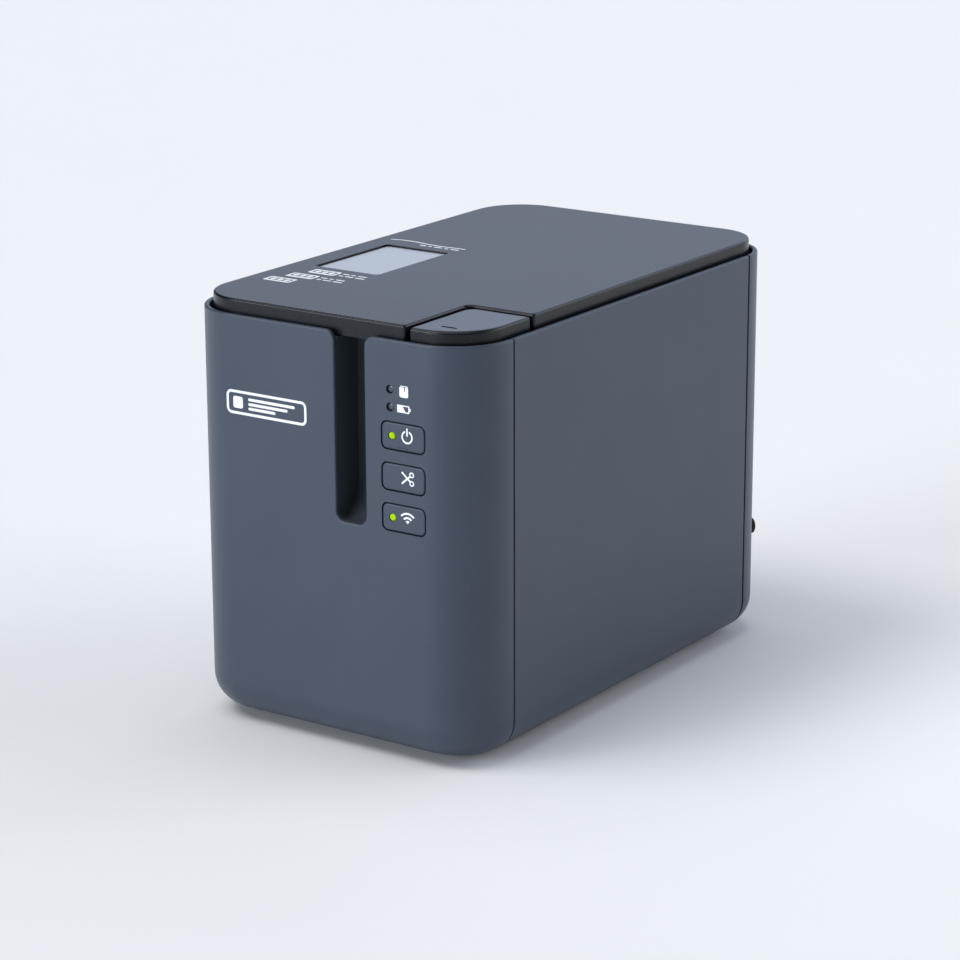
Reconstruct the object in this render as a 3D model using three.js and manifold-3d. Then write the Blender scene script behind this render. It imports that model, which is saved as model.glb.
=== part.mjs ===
// A desktop label maker: a rounded case of four shells on a base plate, a hinged top cover
// with a release button, three front keys, and the tape path inside: cassette tub, print head,
// platen roller and its gear train, cutter, and the boards with the rear sockets.
// Millimetres. +Z up, the front faces -Y, +X is to the right seen from the front.
// The origin is under the middle of the object, on the surface that its feet stand on.

import * as THREE from "three";
import { mergeVertices } from "three/addons/utils/BufferGeometryUtils.js";
import Module from "manifold-3d";

const wasm = await Module();
wasm.setup();

// ---------------------------------------------------------------- driving dimensions

const WIDTH = 118;
const DEPTH = 192;
const HEIGHT = 146;
const CORNER_RADIUS = 20.6; // vertical corners of the case
const EDGE_RADIUS = 11.5; // bottom edge of the case
const FOOT_HEIGHT = 2;
const WALL = 1.8;
const RIM_TOP = 141.5; // top edge of the case shells
const SEAM = 0.8; // gap between two shells
const FRONT_SEAM_Y = -73.5;
const REAR_SEAM_Y = 75.2;
const BASE_HALF_WIDTH = 46;

const COVER_INSET = 3; // from the case outline to the cover outline
const COVER_UNDER = 139.5; // lower edge of the cover's skirt
const PLATE = 1.8; // thickness of the cover's top
const NOTCH_X = 30.6; // the cover leaves this corner to the release button
const NOTCH_Y = -57.6;
const BUTTON_X = 32.2;
const BUTTON_Y = -59.4;
const BUTTON_TOP = 145.5;
const HINGE_Y = 90.8;
const HINGE_Z = 143.2;

const SLOT_X = [4.6, 16.6]; // tape exit slot in the front panel
const SLOT_BOTTOM = 78.4;
const SLOT_RADIUS = 3.5;
const SLOT_LIP = 0.8; // the panel is this thick round the slot; the chute's collar lines the rest
const COLLAR_WALL = 0.85;
const COLLAR_GAP = 0.15;
const COLLAR_TOP = 137;

const KEY_X = [22.9, 40.2];
const KEY_HEIGHT = 9.6;
const KEY_RADIUS = 2.3;
const KEY_CENTRES = { power: 110.25, cut: 96.7, wifi: 83.2 };
const KEY_GAP = 0.35;
const LENS_X = 27.1;
const LENS_RADIUS = 1.2;
const LIGHT_X = 26.6;
const LIGHT_GAP = 0.25;
const LIGHT_CENTRES = { status: 125.4, battery: 119.6 };

const WINDOW_X = [-46.7, -20];
const WINDOW_Y = [-38.3, 4];
const WINDOW_RADIUS = 1.5;

const DECK_Z = [131.5, 134];
const TUB_X = [-50, 3]; // inside of the cassette tub
const TUB_Y = [-56, 28];
const TUB_FLOOR = [86, 88];
const TUB_WALL = 1.6;

const GEAR_Z = [76, 84];
const SPOT = {
  platen: [15.4, -63],
  idler_a: [0.4, -63],
  pinion: [-13.6, -63],
  idler_b: [-6.1, -45.1],
  ribbon: [-15.1, -29.5],
};
const TEETH = { platen: 12, idler_a: 18, pinion: 10, idler_b: 20, ribbon: 16 };
const HOLDER_PIVOT = [16, -36];

const BLADE_PIVOT = { x: 13, z: 80 };
const BLADE_LEAN = THREE.MathUtils.degToRad(20);
const SECTOR_TEETH = 28;
const CUTTER_PINION_TEETH = 10;

const STEM_X = 44.5;
const STEM_Y = -76;
const STEM_HALF = 1.8;
const PORT_Z = 30;

// ---------------------------------------------------------------- solids

const ROUND_STEPS = 4; // gives eight chords to a quarter circle

function solid(geometry) {
  geometry.deleteAttribute("normal");
  geometry.deleteAttribute("uv");
  const merged = mergeVertices(geometry);
  const mesh = new wasm.Mesh({
    numProp: 3,
    vertProperties: Float32Array.from(merged.attributes.position.array),
    triVerts: Uint32Array.from(merged.index.array),
  });
  return new wasm.Manifold(mesh);
}

function geometryOf(manifold) {
  const mesh = manifold.getMesh();
  const geometry = new THREE.BufferGeometry();
  geometry.setAttribute("position", new THREE.BufferAttribute(mesh.vertProperties, 3));
  geometry.setIndex(new THREE.BufferAttribute(mesh.triVerts, 1));
  return geometry;
}

function join(...solids) {
  return solids.reduce((whole, piece) => whole.add(piece));
}

function block([x0, x1], [y0, y1], [z0, z1]) {
  const geometry = new THREE.BoxGeometry(x1 - x0, y1 - y0, z1 - z0);
  geometry.translate((x0 + x1) / 2, (y0 + y1) / 2, (z0 + z1) / 2);
  return solid(geometry);
}

const UPRIGHT = new THREE.Matrix4();
const FACING_FRONT = new THREE.Matrix4().makeBasis(
  new THREE.Vector3(1, 0, 0),
  new THREE.Vector3(0, 0, 1),
  new THREE.Vector3(0, -1, 0),
);
const FACING_RIGHT = new THREE.Matrix4().makeBasis(
  new THREE.Vector3(0, 1, 0),
  new THREE.Vector3(0, 0, 1),
  new THREE.Vector3(1, 0, 0),
);

function extruded(shape, depth, turn) {
  const options = { depth, bevelEnabled: false, curveSegments: ROUND_STEPS };
  return new THREE.ExtrudeGeometry(shape, options).applyMatrix4(turn);
}

// A plate with its outline in x and y.
function plateZ(shape, [z0, z1]) {
  return solid(extruded(shape, z1 - z0, UPRIGHT).translate(0, 0, z0));
}

// A plate with its outline in x and z.
function plateY(shape, [y0, y1]) {
  return solid(extruded(shape, y1 - y0, FACING_FRONT).translate(0, y1, 0));
}

// A plate with its outline in y and z.
function plateX(shape, [x0, x1]) {
  return solid(extruded(shape, x1 - x0, FACING_RIGHT).translate(x0, 0, 0));
}

function rodZ(radius, [z0, z1], [x, y] = [0, 0], sides = 20) {
  const geometry = new THREE.CylinderGeometry(radius, radius, z1 - z0, sides);
  return solid(geometry.rotateX(Math.PI / 2).translate(x, y, (z0 + z1) / 2));
}

function rodY(radius, [y0, y1], [x, z] = [0, 0], sides = 20) {
  const geometry = new THREE.CylinderGeometry(radius, radius, y1 - y0, sides);
  return solid(geometry.translate(x, (y0 + y1) / 2, z));
}

function rodX(radius, [x0, x1], [y, z] = [0, 0], sides = 20) {
  const geometry = new THREE.CylinderGeometry(radius, radius, x1 - x0, sides);
  return solid(geometry.rotateZ(Math.PI / 2).translate((x0 + x1) / 2, y, z));
}

// ---------------------------------------------------------------- outlines

// A closed outline of right-angled corners [x, y, radius], counterclockwise.
function outline(corners) {
  const shape = new THREE.Shape();
  corners.forEach(([x, y, radius], i) => {
    const corner = new THREE.Vector2(x, y);
    const [lastX, lastY] = corners.at(i - 1);
    const [nextX, nextY] = corners[(i + 1) % corners.length];
    const along = corner.clone().sub(new THREE.Vector2(lastX, lastY)).normalize();
    const onward = new THREE.Vector2(nextX, nextY).sub(corner).normalize();
    const centre = corner.clone().addScaledVector(along, -radius).addScaledVector(onward, radius);
    const from = Math.atan2(-onward.y, -onward.x);
    const to = Math.atan2(along.y, along.x);
    shape.absarc(centre.x, centre.y, radius, from, to, along.cross(onward) < 0);
  });
  return shape;
}

function roundedRect([x0, x1], [y0, y1], radius) {
  return outline([
    [x0, y0, radius],
    [x1, y0, radius],
    [x1, y1, radius],
    [x0, y1, radius],
  ]);
}

function polygon(points) {
  return new THREE.Shape(points.map(([x, y]) => new THREE.Vector2(x, y)));
}

function caseOutline(inset) {
  const x = WIDTH / 2 - inset;
  const y = DEPTH / 2 - inset;
  return roundedRect([-x, x], [-y, y], CORNER_RADIUS - inset);
}

// Tooth points of a spur gear of module 1, from the first tooth's root to the last one's.
function toothPoints(teeth, count, middle) {
  const pitchRadius = teeth / 2;
  const pitchAngle = (2 * Math.PI) / teeth;
  const rootRadius = pitchRadius - 1;
  const tipRadius = pitchRadius + 0.8;
  const rootHalf = pitchAngle * 0.24;
  const tipHalf = pitchAngle * 0.11;
  const points = [];
  for (let i = 0; i < count; i += 1) {
    const angle = middle + (i - Math.floor((count - 1) / 2)) * pitchAngle;
    for (const [radius, offset] of [
      [rootRadius, -rootHalf],
      [tipRadius, -tipHalf],
      [tipRadius, tipHalf],
      [rootRadius, rootHalf],
    ]) {
      points.push([radius * Math.cos(angle + offset), radius * Math.sin(angle + offset)]);
    }
  }
  return points;
}

// Phase of the second gear, so that its teeth lie in the gaps of the first.
function meshedPhase(first, second, firstPhase) {
  const [x1, y1] = SPOT[first];
  const [x2, y2] = SPOT[second];
  const line = Math.atan2(y2 - y1, x2 - x1);
  const firstTurn = ((line - firstPhase) * TEETH[first]) / (2 * Math.PI);
  return line + Math.PI - ((2 * Math.PI) / TEETH[second]) * (0.5 - firstTurn);
}

// ---------------------------------------------------------------- materials

function finish(color, roughness, metalness = 0) {
  return () => new THREE.MeshStandardMaterial({ color, roughness, metalness });
}

const caseGrey = finish("#525a67", 0.55);
const coverGrey = finish("#626a76", 0.5);
const buttonGrey = finish("#7d8693", 0.5);
const frosted = finish("#b7bec9", 0.4);
const blackPlastic = finish("#1d1f22", 0.6);
const darkPlastic = finish("#2e3238", 0.6);
const innerGrey = finish("#8d9299", 0.6);
const gearWhite = finish("#d9d6cc", 0.5);
const rubber = finish("#17181a", 0.9);
const clearGreen = finish("#bfe000", 0.3);
const clearDark = finish("#33383f", 0.3);
const steel = finish("#a9adb2", 0.35, 1);
const brass = finish("#b79a55", 0.35, 1);
const boardGreen = finish("#1f5c38", 0.6);

// ---------------------------------------------------------------- the tree

const labelMaker = new THREE.Group();

function group(parent = labelMaker, position = [0, 0, 0]) {
  const made = new THREE.Group();
  made.position.set(...position);
  parent.add(made);
  return made;
}

function add(parent, name, manifold, material, position = [0, 0, 0]) {
  const mesh = new THREE.Mesh(geometryOf(manifold), material());
  mesh.name = name;
  mesh.position.set(...position);
  parent.add(mesh);
  return mesh;
}

// ---------------------------------------------------------------- case shells

function caseBlock(inset, floor, edgeRadius) {
  const options = {
    depth: RIM_TOP,
    bevelThickness: edgeRadius,
    bevelSize: edgeRadius,
    bevelOffset: -edgeRadius,
    bevelSegments: 5,
    curveSegments: ROUND_STEPS,
  };
  const geometry = new THREE.ExtrudeGeometry(caseOutline(inset), options);
  return solid(geometry.translate(0, 0, floor + edgeRadius));
}

function caseShell() {
  const outer = caseBlock(0, FOOT_HEIGHT, EDGE_RADIUS);
  const inner = caseBlock(WALL, FOOT_HEIGHT + WALL, EDGE_RADIUS - WALL);
  const reach = DEPTH;
  const below = block([-reach, reach], [-reach, reach], [-1, RIM_TOP]);
  return outer.subtract(inner).intersect(below);
}

const FAR = 200;
const TALL = [-1, 150];
const LEFT_BASE_X = -BASE_HALF_WIDTH - SEAM / 2;
const FRONT_END = FRONT_SEAM_Y - SEAM / 2;
const MIDDLE_Y = [FRONT_SEAM_Y + SEAM / 2, REAR_SEAM_Y - SEAM / 2];
const REAR_START = REAR_SEAM_Y + SEAM / 2;

// The slot, open to the rim, with its upper corners flared.
function slotCutter(y) {
  const [x0, x1] = SLOT_X;
  const top = RIM_TOP + 2;
  const shape = new THREE.Shape();
  shape.moveTo(x0 - SLOT_RADIUS, top);
  shape.lineTo(x0 - SLOT_RADIUS, RIM_TOP);
  shape.absarc(x0 - SLOT_RADIUS, RIM_TOP - SLOT_RADIUS, SLOT_RADIUS, Math.PI / 2, 0, true);
  shape.absarc(x0 + SLOT_RADIUS, SLOT_BOTTOM + SLOT_RADIUS, SLOT_RADIUS, Math.PI, 1.5 * Math.PI);
  shape.absarc(x1 - SLOT_RADIUS, SLOT_BOTTOM + SLOT_RADIUS, SLOT_RADIUS, -Math.PI / 2, 0);
  shape.absarc(x1 + SLOT_RADIUS, RIM_TOP - SLOT_RADIUS, SLOT_RADIUS, Math.PI, Math.PI / 2, true);
  shape.lineTo(x1 + SLOT_RADIUS, top);
  return plateY(shape, y);
}

// The collar's outline in the slot below the flare, grown on every side.
function collarOutline(grow) {
  const [x0, x1] = [SLOT_X[0] - grow, SLOT_X[1] + grow];
  const bottomRadius = SLOT_RADIUS + grow;
  const topRadius = 0.4;
  return outline([
    [x0, SLOT_BOTTOM - grow, bottomRadius],
    [x1, SLOT_BOTTOM - grow, bottomRadius],
    [x1, COLLAR_TOP + grow, topRadius],
    [x0, COLLAR_TOP + grow, topRadius],
  ]);
}

function keyOutline(centreZ, grow) {
  const [x0, x1] = KEY_X;
  const half = KEY_HEIGHT / 2 + grow;
  return roundedRect([x0 - grow, x1 + grow], [centreZ - half, centreZ + half], KEY_RADIUS + grow);
}

function frontPanel(shell) {
  const through = [-DEPTH / 2 - 1, -DEPTH / 2 + WALL + 2];
  let panel = shell.intersect(block([-FAR, FAR], [-FAR, FRONT_END], TALL));
  panel = panel.subtract(slotCutter(through));
  const behindLip = [-DEPTH / 2 + SLOT_LIP, -DEPTH / 2 + WALL + 2];
  panel = panel.subtract(plateY(collarOutline(COLLAR_WALL + COLLAR_GAP), behindLip));
  for (const centreZ of Object.values(KEY_CENTRES)) {
    panel = panel.subtract(plateY(keyOutline(centreZ, 0), through));
  }
  for (const z of Object.values(LIGHT_CENTRES)) {
    panel = panel.subtract(rodY(LENS_RADIUS + LIGHT_GAP, through, [LIGHT_X, z], 16));
  }
  return panel;
}

// Width, height and centre of each rear socket's window.
const PORTS = {
  dc_jack: { x: -29, width: 10, height: 10 },
  usb_device_port: { x: -14, width: 12, height: 11 },
  usb_host_port: { x: 1, width: 13.2, height: 5.8 },
  lan_port: { x: 17, width: 15.6, height: 13 },
  serial_port: { x: 32, width: 11, height: 12 },
};
const PORT_GAP = 0.5;
const BUMPER_Z = 37.6;
const BUMPER_RADIUS = 2.8;
const BUMPER_NECK = 1.7;
const BUMPER_HOLE = 2;
const BUMPER_REACH = [14.5, 22.5]; // from the axis of the rounded corner

function cornerStud(side, radius, [from, to]) {
  const geometry = new THREE.CylinderGeometry(radius, radius, to - from, 16);
  geometry.rotateZ(-Math.PI / 2).translate((from + to) / 2, 0, 0);
  geometry.rotateZ(side > 0 ? Math.PI / 4 : (3 * Math.PI) / 4);
  const x = WIDTH / 2 - CORNER_RADIUS;
  const y = DEPTH / 2 - CORNER_RADIUS;
  return solid(geometry.translate(side * x, y, BUMPER_Z));
}

function rearPanel(shell) {
  let panel = shell.intersect(block([-FAR, FAR], [REAR_START, FAR], TALL));
  for (const { x, width, height } of Object.values(PORTS)) {
    const halfWidth = width / 2 + PORT_GAP;
    const halfHeight = height / 2 + PORT_GAP;
    const window = block(
      [x - halfWidth, x + halfWidth],
      [DEPTH / 2 - WALL - 1, DEPTH / 2 + 1],
      [PORT_Z - halfHeight, PORT_Z + halfHeight],
    );
    panel = panel.subtract(window);
  }
  for (const side of [-1, 1]) {
    panel = panel.subtract(cornerStud(side, BUMPER_HOLE, BUMPER_REACH));
  }
  return panel;
}

// A rubber stud: a head outside the wall, a neck through it.
function rearBumper(side) {
  const wallOutside = CORNER_RADIUS + 0.2;
  const head = cornerStud(side, BUMPER_RADIUS, [wallOutside, BUMPER_REACH[1]]);
  const neck = cornerStud(side, BUMPER_NECK, [CORNER_RADIUS - WALL - 1.5, wallOutside + 0.5]);
  return head.add(neck);
}

function fourSpots(x, y) {
  return [-1, 1].flatMap((sideX) => [-1, 1].map((sideY) => [sideX * x, sideY * y]));
}

const SCREW_SPOTS = fourSpots(28, 52);
const FOOT_SPOTS = fourSpots(38, 64);
const FOOT_RADIUS = 6;
const FOOT_BOTTOM_RADIUS = 5.6;
const BASE_Z = [FOOT_HEIGHT, FOOT_HEIGHT + 2.5];
const SCREW = { headRadius: 2.8, headHeight: 1.1, shankRadius: 1.4, length: 9, recess: 0.1 };
const SCREW_WELL = { radius: 3.2, depth: 1.4, holeRadius: 1.8 };
const CORNER_NAMES = ["left_front", "left_rear", "right_front", "right_rear"];

function basePlate() {
  const halfWidth = BASE_HALF_WIDTH - SEAM / 2;
  let plate = block([-halfWidth, halfWidth], MIDDLE_Y, BASE_Z);
  for (const spot of SCREW_SPOTS) {
    plate = plate.subtract(rodZ(SCREW_WELL.radius, [0, FOOT_HEIGHT + SCREW_WELL.depth], spot));
    plate = plate.subtract(rodZ(SCREW_WELL.holeRadius, [0, FAR], spot, 12));
  }
  return plate;
}

function baseScrew() {
  const head = rodZ(SCREW.headRadius, [0, SCREW.headHeight], [0, 0], 16);
  const shank = rodZ(SCREW.shankRadius, [SCREW.headHeight - 0.1, SCREW.length], [0, 0], 10);
  const driverSlot = block([-2, 2], [-0.35, 0.35], [-0.1, 0.5]);
  return head.add(shank).subtract(driverSlot);
}

function foot() {
  const geometry = new THREE.CylinderGeometry(FOOT_RADIUS, FOOT_BOTTOM_RADIUS, FOOT_HEIGHT, 24);
  return solid(geometry.rotateX(Math.PI / 2).translate(0, 0, FOOT_HEIGHT / 2));
}

function addCase() {
  const shells = group();
  const shell = caseShell();
  add(shells, "front_panel", frontPanel(shell), caseGrey);
  add(shells, "rear_panel", rearPanel(shell), caseGrey);
  const left = shell.intersect(block([-FAR, LEFT_BASE_X], MIDDLE_Y, TALL));
  const right = shell.intersect(block([-LEFT_BASE_X, FAR], MIDDLE_Y, TALL));
  add(shells, "left_cover", left, caseGrey);
  add(shells, "right_cover", right, caseGrey);
  add(shells, "base_plate", basePlate(), darkPlastic);
  add(shells, "rear_bumper_left", rearBumper(-1), rubber);
  add(shells, "rear_bumper_right", rearBumper(1), rubber);
  const underside = group(shells);
  CORNER_NAMES.forEach((corner, i) => {
    add(underside, `foot_${corner}`, foot(), rubber, [...FOOT_SPOTS[i], 0]);
    const screwAt = [...SCREW_SPOTS[i], FOOT_HEIGHT + SCREW.recess];
    add(underside, `base_screw_${corner}`, baseScrew(), steel, screwAt);
  });
}

// ---------------------------------------------------------------- deck and tub

const EAR_X = [30, 34]; // hinge ears, on both sides of the middle
const EAR_RADIUS = 1.7;
const PIN_RADIUS = 0.9;
const WELL_X = [5, 33]; // the opening over the print mechanism
const WELL_Y = [-78, -30];
const CHUTE_X = [2.6, 18.6];
const CHUTE_Y = [-94, -80];
const CHUTE_TOP = 139;
const CHUTE_FLOOR = 2; // thickness under the slot
const CHUTE_BACK = 3;
const TAPE_SLIT_X = [9, 12.2];
const HOOK_X = [38, 46];
const HOOK_Y = [-55.2, -52.8];

function hingeEar(side) {
  const rootY = [78, 84.5];
  const rootZ = DECK_Z[0] + 0.5;
  const neckHalf = [1.09, 1.3];
  const pinPlay = 0.25;
  const sides = 16;
  const arm = polygon([
    [rootY[0], rootZ],
    [rootY[1], rootZ],
    [HINGE_Y + neckHalf[0], HINGE_Z - neckHalf[1]],
    [HINGE_Y - neckHalf[0], HINGE_Z + neckHalf[1]],
  ]);
  const x = side > 0 ? EAR_X : [-EAR_X[1], -EAR_X[0]];
  const ear = plateX(arm, x).add(rodX(EAR_RADIUS, x, [HINGE_Y, HINGE_Z], sides));
  return ear.subtract(rodX(PIN_RADIUS + pinPlay, [-FAR, FAR], [HINGE_Y, HINGE_Z], sides));
}

function deck() {
  const gap = 0.3;
  let plate = plateZ(caseOutline(WALL + 0.4), DECK_Z);
  plate = join(plate, hingeEar(-1), hingeEar(1));
  const tubX = [TUB_X[0] - TUB_WALL - gap, TUB_X[1] + TUB_WALL + gap];
  const tubY = [TUB_Y[0] - TUB_WALL - gap, TUB_Y[1] + TUB_WALL + gap];
  const stemHalf = STEM_HALF + 0.4;
  const cutters = [
    block(tubX, tubY, [DECK_Z[0] - 1, DECK_Z[1] + 1]),
    block(WELL_X, WELL_Y, [DECK_Z[0] - 1, DECK_Z[1] + 1]),
    block([CHUTE_X[0] - gap, CHUTE_X[1] + gap], [-FAR, CHUTE_Y[1] + gap], TALL),
    block([HOOK_X[0] - 1, HOOK_X[1] + 1], [HOOK_Y[0] - 3, HOOK_Y[1] + 1.5], TALL),
    block([STEM_X - stemHalf, STEM_X + stemHalf], [STEM_Y - stemHalf, STEM_Y + stemHalf], TALL),
  ];
  return cutters.reduce((whole, cutter) => whole.subtract(cutter), plate);
}

function cassetteTub() {
  const outerX = [TUB_X[0] - TUB_WALL, TUB_X[1] + TUB_WALL];
  const outerY = [TUB_Y[0] - TUB_WALL, TUB_Y[1] + TUB_WALL];
  const outer = plateZ(roundedRect(outerX, outerY, 4), [TUB_FLOOR[0], DECK_Z[1]]);
  const inner = plateZ(roundedRect(TUB_X, TUB_Y, 2.4), [TUB_FLOOR[1], FAR]);
  const tapeGate = block([TUB_X[1] - 1, FAR], [-53, -42], [TUB_FLOOR[1] + 1, FAR]);
  const spindleHole = rodZ(4.3, [0, FAR], SPOT.ribbon, 20);
  return outer.subtract(inner).subtract(tapeGate).subtract(spindleHole);
}

// The dark channel behind the front slot: open to the front and the top. Its collar lines the
// slot, and its floor curves up to the back wall, where the tape comes through a slit.
function exitChute() {
  const mouth = -DEPTH / 2 + SLOT_LIP + COLLAR_GAP;
  const back = CHUTE_Y[1] - CHUTE_BACK;
  const rampRadius = back - mouth;
  const rampTop = SLOT_BOTTOM + rampRadius;
  const sunk = 0.5; // the ramp's root in the floor and the walls
  const outer = block(CHUTE_X, CHUTE_Y, [SLOT_BOTTOM - CHUTE_FLOOR, CHUTE_TOP]);
  const collar = plateY(collarOutline(COLLAR_WALL), [mouth, CHUTE_Y[0] + sunk]);
  const channel = slotCutter([mouth - 1, back]).intersect(block(SLOT_X, [-FAR, FAR], TALL));
  const profile = new THREE.Shape();
  profile.moveTo(mouth, SLOT_BOTTOM - sunk);
  profile.absarc(mouth, rampTop, rampRadius, -Math.PI / 2, 0);
  profile.lineTo(back + sunk, rampTop);
  profile.lineTo(back + sunk, SLOT_BOTTOM - sunk);
  const ramp = plateX(profile, [SLOT_X[0] - sunk, SLOT_X[1] + sunk]);
  const tapeSlit = block(TAPE_SLIT_X, [back - 1, CHUTE_Y[1] + 1], [rampTop + sunk, FAR]);
  const body = join(outer, collar);
  return body.subtract(channel).add(ramp.intersect(body)).subtract(tapeSlit);
}

function addFrame() {
  const frame = group();
  add(frame, "deck", deck(), blackPlastic);
  add(frame, "cassette_tub", cassetteTub(), innerGrey);
  add(frame, "exit_chute", exitChute(), blackPlastic);
}

// ---------------------------------------------------------------- top cover

// A low tray turned over: a top plate with a chamfered edge, and a skirt.
function coverTray(corners, top, wall) {
  const chamfer = 0.6;
  const options = {
    depth: top - COVER_UNDER - chamfer,
    bevelThickness: chamfer,
    bevelSize: chamfer,
    bevelOffset: -chamfer,
    bevelSegments: 1,
    curveSegments: ROUND_STEPS,
  };
  const outer = new THREE.ExtrudeGeometry(outline(corners), options).translate(0, 0, COVER_UNDER);
  const inset = corners.map(([x, y, radius, inX, inY]) => {
    const inner = inX * inY > 0 ? radius - wall : radius + wall;
    return [x + inX * wall, y + inY * wall, Math.max(inner, 0.5)];
  });
  const hollow = plateZ(outline(inset), [COVER_UNDER - 2, top - PLATE]);
  const above = block([-FAR, FAR], [-FAR, FAR], [COVER_UNDER, FAR]);
  return solid(outer).intersect(above).subtract(hollow);
}

const COVER_X = WIDTH / 2 - COVER_INSET;
const COVER_Y = DEPTH / 2 - COVER_INSET;
const COVER_RADIUS = CORNER_RADIUS - COVER_INSET;

function topCover() {
  const tray = topCoverTray();
  const clear = 0.4;
  const ribWidth = 1.8;
  const ribs = [];
  for (const side of [-1, 1]) {
    for (const x of [EAR_X[0] - clear - ribWidth, EAR_X[1] + clear]) {
      const span = side > 0 ? [x, x + ribWidth] : [-x - ribWidth, -x];
      ribs.push(block(span, [HINGE_Y - 2, COVER_Y - 1], [HINGE_Z - 2, HEIGHT - 1]));
    }
  }
  let cover = join(tray, ...ribs);
  cover = cover.subtract(rodX(PIN_RADIUS + 0.2, [-FAR, FAR], [HINGE_Y, HINGE_Z], 16)
    .intersect(block([-EAR_X[1] - 2.6, EAR_X[1] + 2.6], [-FAR, FAR], TALL)));
  for (const side of [-1, 1]) {
    const inner = EAR_X[0] - clear;
    const outer = EAR_X[1] + clear;
    const span = side > 0 ? [inner, outer] : [-outer, -inner];
    cover = cover.subtract(block(span, [HINGE_Y - 2.3, FAR], [0, HINGE_Z + 2]));
  }
  const window = plateZ(roundedRect(WINDOW_X, WINDOW_Y, WINDOW_RADIUS), [0, FAR]);
  return cover.subtract(window);
}

const TIP_RADIUS = 0.8; // at the outer ends of the notch
const NOTCH_RADIUS = 3.5;
const BUTTON_RADIUS = 2.6;
const BUTTON_WALL = 1.6;

function topCoverTray() {
  return coverTray([
    [-COVER_X, -COVER_Y, COVER_RADIUS, 1, 1],
    [NOTCH_X, -COVER_Y, TIP_RADIUS, -1, 1],
    [NOTCH_X, NOTCH_Y, NOTCH_RADIUS, -1, 1],
    [COVER_X, NOTCH_Y, TIP_RADIUS, -1, 1],
    [COVER_X, COVER_Y, COVER_RADIUS, -1, -1],
    [-COVER_X, COVER_Y, COVER_RADIUS, 1, -1],
  ], HEIGHT, PLATE);
}

function coverWindow() {
  const clear = 0.25;
  const x = [WINDOW_X[0] + clear, WINDOW_X[1] - clear];
  const y = [WINDOW_Y[0] + clear, WINDOW_Y[1] - clear];
  const plateUnder = HEIGHT - PLATE;
  const pane = plateZ(roundedRect(x, y, WINDOW_RADIUS - clear), [plateUnder - 0.8, HEIGHT - 0.6]);
  const rim = 1.5;
  const flangeX = [x[0] - rim, x[1] + rim];
  const flangeY = [y[0] - rim, y[1] + rim];
  return pane.add(block(flangeX, flangeY, [plateUnder - 1.2, plateUnder - 0.2]));
}

const LINER_Z = [140.8, 142.4];
const LINER_HALF_WIDTH = 52;
const LINER_Y = [-89, 78];
const LINER_POSTS = [[-46, -70], [20, -70], [-46, 68], [46, 68]];
const HOOK_FOOT = 126;

function coverLiner() {
  const edge = HOOK_Y[0];
  const right = NOTCH_X - 3.5;
  let liner = plateZ(outline([
    [-LINER_HALF_WIDTH, LINER_Y[0], 13],
    [right, LINER_Y[0], 1],
    [right, edge, 1],
    [LINER_HALF_WIDTH, edge, 1],
    [LINER_HALF_WIDTH, LINER_Y[1], 3],
    [-LINER_HALF_WIDTH, LINER_Y[1], 3],
  ]), LINER_Z);
  const margin = 1.5;
  const viewX = [WINDOW_X[0] + margin, WINDOW_X[1] - margin];
  const viewY = [WINDOW_Y[0] + margin, WINDOW_Y[1] - margin];
  liner = liner.subtract(block(viewX, viewY, TALL));
  for (const spot of LINER_POSTS) {
    liner = liner.add(rodZ(2.5, [LINER_Z[0] + 0.5, HEIGHT - PLATE - 0.2], spot, 12));
  }
  const hook = block(HOOK_X, HOOK_Y, [HOOK_FOOT, LINER_Z[0] + 0.5]);
  const beadY = [HOOK_Y[0] - 0.7, HOOK_Y[0] + 0.5];
  const bead = block(HOOK_X, beadY, [HOOK_FOOT, HOOK_FOOT + 2]);
  return join(liner, hook, bead);
}

function addCover() {
  const cover = group();
  add(cover, "top_cover", topCover(), coverGrey);
  add(cover, "cover_window", coverWindow(), frosted);
  add(cover, "cover_liner", coverLiner(), blackPlastic);
  const middle = (EAR_X[0] + EAR_X[1]) / 2;
  const pinHalf = 4.4;
  const pin = rodX(PIN_RADIUS, [-pinHalf, pinHalf], [0, 0], 12);
  add(cover, "hinge_pin_left", pin, steel, [-middle, HINGE_Y, HINGE_Z]);
  add(cover, "hinge_pin_right", pin, steel, [middle, HINGE_Y, HINGE_Z]);
}

// ---------------------------------------------------------------- release button and latch

const SPRING_GAP = 0.5; // at each end of the spring
const SPRING_Z = [DECK_Z[1] + SPRING_GAP, BUTTON_TOP - PLATE - SPRING_GAP];

// The stem's foot slopes down towards the rear at 45 degrees, and pushes the slider forward.
const WEDGE_SUM = 52; // y + z on the sloping face

function releaseButton() {
  const tray = coverTray([
    [BUTTON_X, -COVER_Y, TIP_RADIUS, 1, 1],
    [COVER_X, -COVER_Y, COVER_RADIUS, -1, 1],
    [COVER_X, BUTTON_Y, TIP_RADIUS, -1, -1],
    [BUTTON_X, BUTTON_Y, BUTTON_RADIUS, 1, -1],
  ], BUTTON_TOP, BUTTON_WALL);
  const [front, rear] = [STEM_Y - STEM_HALF, STEM_Y + STEM_HALF];
  const root = BUTTON_TOP - PLATE / 2;
  const stem = polygon([
    [front, WEDGE_SUM - front],
    [rear, WEDGE_SUM - rear],
    [rear, root],
    [front, root],
  ]);
  return tray.add(plateX(stem, [STEM_X - STEM_HALF, STEM_X + STEM_HALF]));
}

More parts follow.
